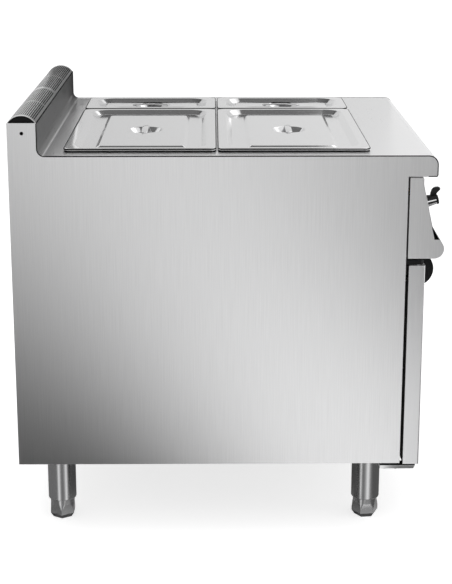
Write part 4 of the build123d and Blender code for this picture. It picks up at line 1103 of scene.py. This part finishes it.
class BAINMARIE_OT_knob(bpy.types.Operator):
    """Plated barrel, moulded cap with its leaf, and the dial marks of the thermostat knob"""
    bl_idname = "bainmarie.knob"
    bl_label = "Make the knob"

    def execute(self, context):
        size = context.scene.bainmarie_knob
        finish = finishes()
        dressed("knob_barrel", finish["plated"], size.barrel_edge, "knob", "bright_steel", segments=3)
        low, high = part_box("knob_barrel")
        sine, cosine = math.sin(size.lean), math.cos(size.lean)
        away, rise = Vector((0, -cosine, sine)), Vector((0, sine, cosine))
        end = size.gap + size.length
        spot = Vector(((low.x + high.x) / 2, low.y + end * cosine + size.barrel_end * sine,
                       low.z + size.barrel * cosine - size.gap * sine))

        def at(out, up, side):
            return spot + away * out + rise * up + ASIDE * side

        def polar(out, radius, turn):
            return at(out, radius * math.cos(turn), radius * math.sin(turn))

        shape = together(self.cap(size, end, polar), self.saddle(size, end, polar), self.leaf(size, at))
        put("knob_lever_moulded", shape, finish["moulding"], "knob", "black_plastic", "knob_lever", sharp=45)
        marks, first, step, count = [], -135, 27, 11
        for k in range(count):
            turn = math.radians(first + step * k)
            lies = rise * math.cos(turn) + ASIDE * math.sin(turn)
            marks.append((spot + lies * (size.barrel + size.saddle + size.dial), away, lies))
        dial = fastened("dial_marks", tick_head("dial_mark", size.tick), marks, finish["coating"])
        placed(dial, "cabinet", "black_plastic")
        return {"FINISHED"}

    def cap(self, size, end, polar):
        """The cap's round end."""
        wide = size.barrel_end + size.saddle
        steps = 5
        bend = [math.radians(90 * k / steps) for k in range(steps + 1)]
        outline = [(end, wide)] + [(end + size.cap - size.round + size.round * math.sin(t),
                                    wide - size.round + size.round * math.cos(t)) for t in bend]
        return skin([[polar(out, radius, t) for t in turns(CAP_SIDES)] for out, radius in outline])

    def saddle(self, size, end, polar):
        """The part of the cap that lies along the barrel's upper side."""
        reach, steps, sunk, lap = 76, 20, 0.98, 0.001
        arc = [math.radians(reach * (2 * k / steps - 1)) for k in range(steps + 1)]
        rings = []
        for out, wide in ((size.gap, size.barrel), (end + lap, size.barrel_end)):
            rings.append([polar(out, wide + size.saddle, t) for t in arc]
                         + [polar(out, wide * sunk, t) for t in reversed(arc)])
        return skin(rings)

    def leaf(self, size, at):
        """The leaf that the hand turns, with softened edges."""
        outline = smooth_loop(LEAF, steps=4)
        middle, half = Vector(LEAF_MIDDLE), size.leaf / 2
        flat, narrow = 0.75, 0.88
        rings = []
        for side, share in ((-half, narrow), (-half * flat, 1.0), (half * flat, 1.0), (half, narrow)):
            places = [(middle + (spot - middle) * share) * MM for spot in outline]
            rings.append([at(place.x, place.y, side) for place in places])
        return skin(rings)


class BAINMARIE_OT_legs(bpy.types.Operator):
    """Legs with turned ends, and levelling feet with six flats under a round neck"""
    bl_idname = "bainmarie.legs"
    bl_label = "Make the legs"

    def execute(self, context):
        size = context.scene.bainmarie_feet
        finish = finishes()["feet"]
        dressed("leg_tubes", finish, size.leg_edge, "cabinet", "steel_foot")
        for name, turn in zip(FOOT_NAMES, FOOT_TURNS):
            self.foot(f"foot_{name}", math.radians(turn), size, finish)
        return {"FINISHED"}

    def foot(self, node, turn, size, material):
        """A foot: base, tapered part, hexagon with turned corners, round neck."""
        low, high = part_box(node)
        middle = (low + high) / 2
        corner = size.flat / math.cos(math.radians(30))
        rim, proud, unlimited, steps = 0.001, 0.0002, 1.0, 9
        run = size.top - size.shoulder
        levels = [(0.0, size.base), (size.chamfer, size.flat), (size.chamfer + rim, size.flat)]
        levels += [(size.shoulder + run * k / steps, size.flat) for k in range(steps)]
        levels += [(size.top, unlimited), (high.z - low.z, unlimited)]
        rings = []
        for height, flat in levels:
            bar = corner + proud + (size.neck - corner) * clamped((height - size.shoulder) / run)
            loop = []
            for angle in turns(FOOT_SIDES):
                radius = min(bar, flat / math.cos((angle % math.radians(60)) - math.radians(30)))
                loop.append(Vector((middle.x + radius * math.cos(angle + turn),
                                    middle.y + radius * math.sin(angle + turn), low.z + height)))
            rings.append(loop)
        put(f"{node}_turned", skin(rings), material, node, "steel_foot", node, sharp=28)


class BAINMARIE_OT_fasteners(bpy.types.Operator):
    """Screws of the rear sheet and the supply box, bolts of the leg plates and the hinge plates"""
    bl_idname = "bainmarie.fasteners"
    bl_label = "Set the bolts"

    def execute(self, context):
        size = context.scene.bainmarie_front
        plated = finishes()["plated"]
        sheet_screw, sheet_screw_height = size.bolt * 0.8, size.bolt * 0.26
        bolt_height, box_screw_height = size.bolt * 0.9, size.rivet * 0.6
        heads = {"rear_screws": dome_head("sheet_screw", sheet_screw, sheet_screw_height),
                 "casing_bolts": bolt_head("bolt_head", size.bolt, bolt_height),
                 "box_screws": dome_head("box_screw", size.rivet, box_screw_height)}
        places = {"rear_screws": self.rear(), "casing_bolts": self.plates(), "box_screws": self.box()}
        for name, head in heads.items():
            placed(fastened(name, head, places[name], plated), "cabinet", "bright_steel")
        return {"FINISHED"}

    def rear(self):
        """Two rows of screws in the rear sheet."""
        low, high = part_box("back_panel")
        inset, margin, steps = 0.012, 0.04, 6
        heights = [low.z + margin + k * (high.z - low.z - 2 * margin) / steps for k in range(steps + 1)]
        return [(Vector((x, high.y, z)), BACK, UP) for x in (low.x + inset, high.x - inset) for z in heights]

    def plates(self):
        """Four bolts under each leg's plate and two under each hinge plate."""
        sheet, out, first, second = 0.003, 0.04, 0.012, 0.036
        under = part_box("leg_tubes")[1].z - sheet
        places = []
        for name in FOOT_NAMES:
            middle = middle_of(f"foot_{name}")
            places += [(Vector((middle.x + dx, middle.y + dy, under)), -UP, ASIDE)
                       for dx in (-out, out) for dy in (-out, out)]
        for side in SIDES:
            low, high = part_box(f"hinge_plate_{side}")
            places += [(Vector(((low.x + high.x) / 2, high.y - inset, low.z)), -UP, ASIDE)
                       for inset in (first, second)]
        return places

    def box(self):
        """Four screws in the supply box's cover."""
        low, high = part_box("terminal_box")
        inset = 0.009
        return [(Vector((x, low.y, z)), -BACK, UP) for x in (low.x + inset, high.x - inset)
                for z in (low.z + inset, high.z - inset)]


# Stage

class BAINMARIE_OT_stage(bpy.types.Operator):
    """White floor, even room light, soft lamps, boards for reflections and the photograph's camera"""
    bl_idname = "bainmarie.stage"
    bl_label = "Set the stage"

    def execute(self, context):
        scene = context.scene
        scene.view_settings.view_transform = "Standard"
        light = scene.bainmarie_stage
        self.camera(scene)
        self.room(scene, light.room)
        self.floor()
        self.scrims()
        self.skirts()
        self.floor_cards()
        self.deck_cards(scene.bainmarie_casing.deck)
        self.lamp("key_lamp", light.key, place=(0.3, 0.4, 3.2), target=(0.0, 0.0, 0.8), width=2.4)
        self.lamp("fill_lamp", light.fill, place=(-1.2, -3.2, 1.6), target=(0.0, 0.0, 0.5), width=1.6)
        return {"FINISHED"}

    def camera(self, scene):
        """The photograph's camera."""
        data = bpy.data.cameras.new("camera")
        data.sensor_fit = "AUTO"
        data.sensor_width = SENSOR
        data.lens = SENSOR * PHOTO_FOCAL / PHOTO_HEIGHT
        data.shift_y = PHOTO_SHIFT / PHOTO_HEIGHT
        made = bpy.data.objects.new("camera", data)
        made.location = CAMERA_AT
        made.rotation_euler = (math.radians(90 - CAMERA_TILT), 0, math.radians(-90 - CAMERA_TURN))
        scene.collection.objects.link(made)
        scene.camera = made

    def lamp(self, name, power, place, target, width):
        """A soft square lamp aimed at a point, which reflections don't show."""
        data = bpy.data.lights.new(name, "AREA")
        data.size = width
        data.energy = power
        made = bpy.data.objects.new(name, data)
        made.location = place
        made.rotation_euler = (Vector(target) - Vector(place)).to_track_quat("-Z", "Y").to_euler()
        made.visible_glossy = False
        bpy.context.scene.collection.objects.link(made)

    def room(self, scene, strength):
        """Even light all round, white to the camera and in reflections."""
        scene.world = bpy.data.worlds.new("room")
        scene.world.use_nodes = True
        tree = scene.world.node_tree
        path = add_node(tree, "ShaderNodeLightPath").outputs
        seen = add_math(tree, "MAXIMUM", path["Is Camera Ray"], path["Is Glossy Ray"])
        seen = add_math(tree, "MAXIMUM", seen, path["Is Transmission Ray"])
        set_inputs(tree, tree.nodes["Background"], {
            "Color": (1, 1, 1, 1), "Strength": ranged(tree, seen, strength, 1.0)})

    def floor(self):
        """A white floor that keeps the object's shadow."""
        reach, below, seen_glow, mirrored_glow = 30.0, 0.0004, 0.70, 0.63
        corners = rectangle(2, -below, (-reach, -reach), (reach, reach))
        floor = linked("floor", plain_mesh("floor", corners, [(0, 1, 2, 3)]))
        made, tree, shader = new_material("studio_floor", {
            "Base Color": (0.9, 0.9, 0.9, 1), "Roughness": 1.0, "Specular IOR Level": 0.0,
            "Emission Color": (1, 1, 1, 1)})
        path = add_node(tree, "ShaderNodeLightPath").outputs
        glow = add_math(tree, "MAXIMUM", ranged(tree, path["Is Camera Ray"], 0.0, seen_glow),
                        ranged(tree, path["Is Glossy Ray"], 0.0, mirrored_glow))
        set_inputs(tree, shader, {"Emission Strength": glow})
        floor.data.materials.append(made)

    def scrims(self):
        """Dark cloths of changing density on the floor beside and behind the cabinet, which give its
        sheets their slanting shade. Only reflections show them."""
        columns, rows, first_high, lift, near = 48, 56, 0.02, 0.002, -1.2
        panel = CAD_LOW.x
        for name, first in (("left", 1.8), ("right", 1.8), ("rear", 0.7)):
            points, density = [], []
            for i in range(columns + 1):
                high = first_high + i / columns
                reach = high / (CAMERA_AT.z - high)
                away = reach * (panel - CAMERA_AT.x)
                # The rear cloth ends in line with the left panel, where the left cloth begins
                last = (panel + reach * CAMERA_AT.y) / (1 + reach) if name == "rear" else near
                for k in range(rows + 1):
                    side = first + (last - first) * k / rows
                    along = side + reach * (side - CAMERA_AT.y)
                    if name == "rear":
                        points.append((along, CAD_HIGH.y + away, lift))
                    else:
                        points.append((panel - away if name == "left" else away - panel, along, lift))
                    density.append(self.shade(side, high))
            self.board(f"scrim_{name}", points, quads(columns, rows), "cloth", density)

    def shade(self, side, high):
        """How dark the cloth is that a panel shows at this place."""
        slant = BAND_ACROSS * (BAND_AT[0] - side) - BAND_UP * (BAND_AT[1] - high)
        lower, upper = (LOWER_FROM - slant) / LOWER_RUN, (slant - UPPER_FROM) / UPPER_RUN
        return max(HAZE * max(0.0, 1 - high / HAZE_TOP), eased(lower), eased(upper))

    def skirts(self):
        """Low dark boards below the casing's four sides, painted shade under the casing. Those at left and
        right have two bright bars before every leg, painted highlights that the legs show as streaks. Only
        reflections show them."""
        low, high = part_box("leg_tubes")
        middles = [middle_of(f"foot_{name}") for name in FOOT_NAMES]
        columns, first, last, base, top = 160, -0.48, 0.54, 0.002, 0.152
        spots = [first + (last - first) * i / columns for i in range(columns + 1)]
        left, right = low.x - SKIRT_OUT, high.x + SKIRT_OUT
        front, rear = low.y - SKIRT_OUT, high.y + SKIRT_OUT
        for name, face, turn, tone in (("left", left, -1, 0.2), ("right", right, 1, 0.12)):
            legs = [middle.y for middle in middles if middle.x * face > 0]
            points = [(face, spot, z) for spot in spots for z in (base, top)]
            glow = [self.shine(y, legs, turn, tone) for x, y, z in points]
            self.board(f"skirt_{name}", points, quads(columns, 1), "glow", glow)
        for name, face, tone in (("front", front, 0.12), ("rear", rear, 0.2)):
            corners = rectangle(1, face, (base, CAD_LOW.x), (top, CAD_HIGH.x))
            self.card(f"skirt_{name}", corners, "glow", tone)

    def shine(self, spot, legs, turn, tone):
        """How bright a skirt is at a place: dim between the legs, with two bars of painted highlight before
        each.
        """
        fall, fall_from, fall_run, lean, bright = 0.8, 0.08, 0.06, 0.02, 0.9
        inside = min(spot - min(legs), max(legs) - spot)
        shine = tone - fall * tone * clamped((inside - fall_from) / fall_run)
        for leg in legs:
            # Seen from the middle, a leg's bars stand a little towards the middle
            off = turn * (spot - leg) + lean * math.copysign(1, turn * leg)
            for bar_at, bar_width in ((-0.046, 0.014), (0.040, 0.022)):
                shine += bright * hill(off - bar_at, bar_width)
        return shine

    def floor_cards(self):
        """Dark boards on the floor under the casing, by the feet, at the near corner and in front of the
        doors, which give bright steel its dark edges. Those under the casing and round the feet are painted
        shadow: the floor glows evenly in reflections, and they darken it where the casing and feet shade it.
        Only reflections show them."""
        lift = 0.0015
        self.card("card_corner", rectangle(2, lift, (-0.85, -0.85), (-0.42, -0.52)), "cloth", 0.85)
        low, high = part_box("leg_tubes")
        feet = [middle_of(f"foot_{name}") for name in FOOT_NAMES]
        cells, dark, lighter, spread = 40, 0.9, 0.4, 0.1
        out = Vector((SKIRT_OUT, SKIRT_OUT, 0))
        # Painted shadow under the casing, thinner right round the feet
        points = level_grid(low - out, high + out, lift, cells)
        tones = [dark - lighter * max(hill((foot.xy - Vector((x, y))).length, spread) for foot in feet)
                 for x, y, z in points]
        self.board("card_under", points, quads(cells, cells), "cloth", tones)
        # Painted shadow round each foot, and beside it; the offsets from the foot's middle turn with its side
        patches = (("contact", 0.0017, (-0.034, 0.034), (0.034, -0.034), 0.8),
                   ("side", 0.0016, (-0.02, -0.02), (0.085, -0.15), 0.5))
        for name, foot in zip(FOOT_NAMES, feet):
            sign = math.copysign(1, foot.x)
            for part, z, start, end, tone in patches:
                corners = rectangle(2, z, foot.xy + sign * Vector(start), foot.xy + sign * Vector(end))
                self.card(f"card_{part}_{name}", corners, "cloth", tone)
        lift, tone_at = 0.0018, {-0.46: 0.85, -0.9: 0.7, -1.3: 0.4, -1.8: 0.0}
        points = [(x, y, lift) for y in tone_at for x in (CAD_LOW.x, 0.62)]
        self.board("card_front", points, quads(3, 1), "cloth", [tone_at[y] for x, y, z in points])

    def deck_cards(self, deck):
        """Dark boards overhead and round the worktop, which give bright steel its dark edges, and a
        bright one overhead for highlights. Only reflections show them."""
        above, tone_at = 2.2, {-0.9: 0.82, 0.9: 0.82, 1.4: 0.96}
        points = [(x, y, above) for x in tone_at for y in (-0.35, 1.4)]
        self.board("card_above", points, quads(2, 1), "cloth", [tone_at[x] for x, y, z in points])
        cells, above, plain, bright = 16, 2.6, 1.0, 2.2
        middle, spread = Vector((1.35, -1.2)), Vector((0.6, 0.55))
        points = level_grid(Vector((0.4, -2.1)), Vector((2.3, -0.3)), above, cells)
        glow = [plain + bright * hill(x - middle.x, spread.x) * hill(y - middle.y, spread.y)
                for x, y, z in points]
        self.board("highlight", points, quads(cells, cells), "glow", glow)
        far, base, top = CAD_HIGH.x - 0.005, deck + 0.001, 1.15
        mean, slope = 0.22, 0.19
        points = [(far, y, z) for y in (-0.44, -0.25, -0.05, 0.15, 0.39) for z in (base, top)]
        self.board("card_beyond", points, quads(4, 1), "cloth", [mean + slope * y for x, y, z in points])
        pan_low, pan_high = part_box("pan_rear_large")
        edge, near, rim_top = pan_high.y + 0.004, pan_low.x - 0.014, 0.866
        strip = [(far, edge, base), (far, 0.398, base), (far, 0.398, 0.932), (far, edge, 0.858)]
        self.card("card_flue", rectangle(1, edge, (base, CAD_LOW.x), (1.10, 1.6)), "one_way", 0.75)
        self.card("card_strip", strip, "cloth", 0.93)
        self.card("card_cover", rectangle(0, far, (0.40, 0.925), (0.47, top)), "cloth", 0.7)
        self.card("card_rims", rectangle(0, near, (-0.31, deck + 0.0015), (edge, rim_top)), "one_way", 0.95)

    def card(self, name, corners, field, tone):
        """A board of four corners in one tone."""
        self.board(name, corners, [(0, 1, 2, 3)], field, [tone] * 4)

    def board(self, name, points, faces, field, values):
        """A board that only reflections show: a cloth that lets light through, or a glow."""
        mesh = plain_mesh(name, points, faces)
        mesh.attributes.new(field, "FLOAT", "POINT").data.foreach_set("value", values)
        mesh.materials.append(bpy.data.materials.get(f"board_{field}") or self.board_material(field))
        made = linked(name, mesh)
        made.visible_camera = False
        made.visible_diffuse = False
        made.visible_shadow = False

    def board_material(self, field):
        """Black cloth or white glow, as dense or as bright as the board's field says at each point."""
        made, tree, shader = new_material(f"board_{field}", {
            "Base Color": (0.02, 0.02, 0.02, 1), "Roughness": 1.0, "Specular IOR Level": 0.0,
            "Emission Color": (1, 1, 1, 1)})
        shade = add_node(tree, "ShaderNodeAttribute", attribute_name=field).outputs["Fac"]
        if field == "one_way":
            behind = add_node(tree, "ShaderNodeNewGeometry").outputs["Backfacing"]
            shade = add_math(tree, "SUBTRACT", shade, behind, use_clamp=True)
        set_inputs(tree, shader, {"Emission Strength" if field == "glow" else "Alpha": shade})
        return made


# Add-on

OPERATORS = (BAINMARIE_OT_casing, BAINMARIE_OT_inside, BAINMARIE_OT_pans, BAINMARIE_OT_lids,
             BAINMARIE_OT_grilles, BAINMARIE_OT_doors, BAINMARIE_OT_knob, BAINMARIE_OT_legs,
             BAINMARIE_OT_fasteners, BAINMARIE_OT_stage)


class BAINMARIE_PT_build(bpy.types.Panel):
    """Steps that build the looks"""
    bl_idname = "BAINMARIE_PT_build"
    bl_label = "Bain-marie"
    bl_space_type = "VIEW_3D"
    bl_region_type = "UI"
    bl_category = "Bain-marie"

    def draw(self, context):
        for step in OPERATORS:
            self.layout.operator(step.bl_idname)


GROUPS = {"bainmarie_lids": LidSizes, "bainmarie_pans": PanSizes, "bainmarie_grilles": GrilleSizes,
          "bainmarie_casing": CasingSizes, "bainmarie_front": FrontSizes, "bainmarie_knob": KnobSizes,
          "bainmarie_feet": FootSizes, "bainmarie_colours": FinishColours, "bainmarie_stage": StageLight}


def register():
    """Adds the sizes, steps and panel to Blender."""
    for name, group in GROUPS.items():
        bpy.utils.register_class(group)
        setattr(bpy.types.Scene, name, PointerProperty(type=group))
    for step in (*OPERATORS, BAINMARIE_PT_build):
        bpy.utils.register_class(step)


def unregister():
    """Takes them out again."""
    for step in reversed((*OPERATORS, BAINMARIE_PT_build)):
        bpy.utils.unregister_class(step)
    for name, group in reversed(GROUPS.items()):
        delattr(bpy.types.Scene, name)
        bpy.utils.unregister_class(group)


def main():
    """Builds every piece in order."""
    register()
    for step in OPERATORS:
        group, name = step.bl_idname.split(".")
        getattr(getattr(bpy.ops, group), name)()


if __name__ == "__main__":
    main()
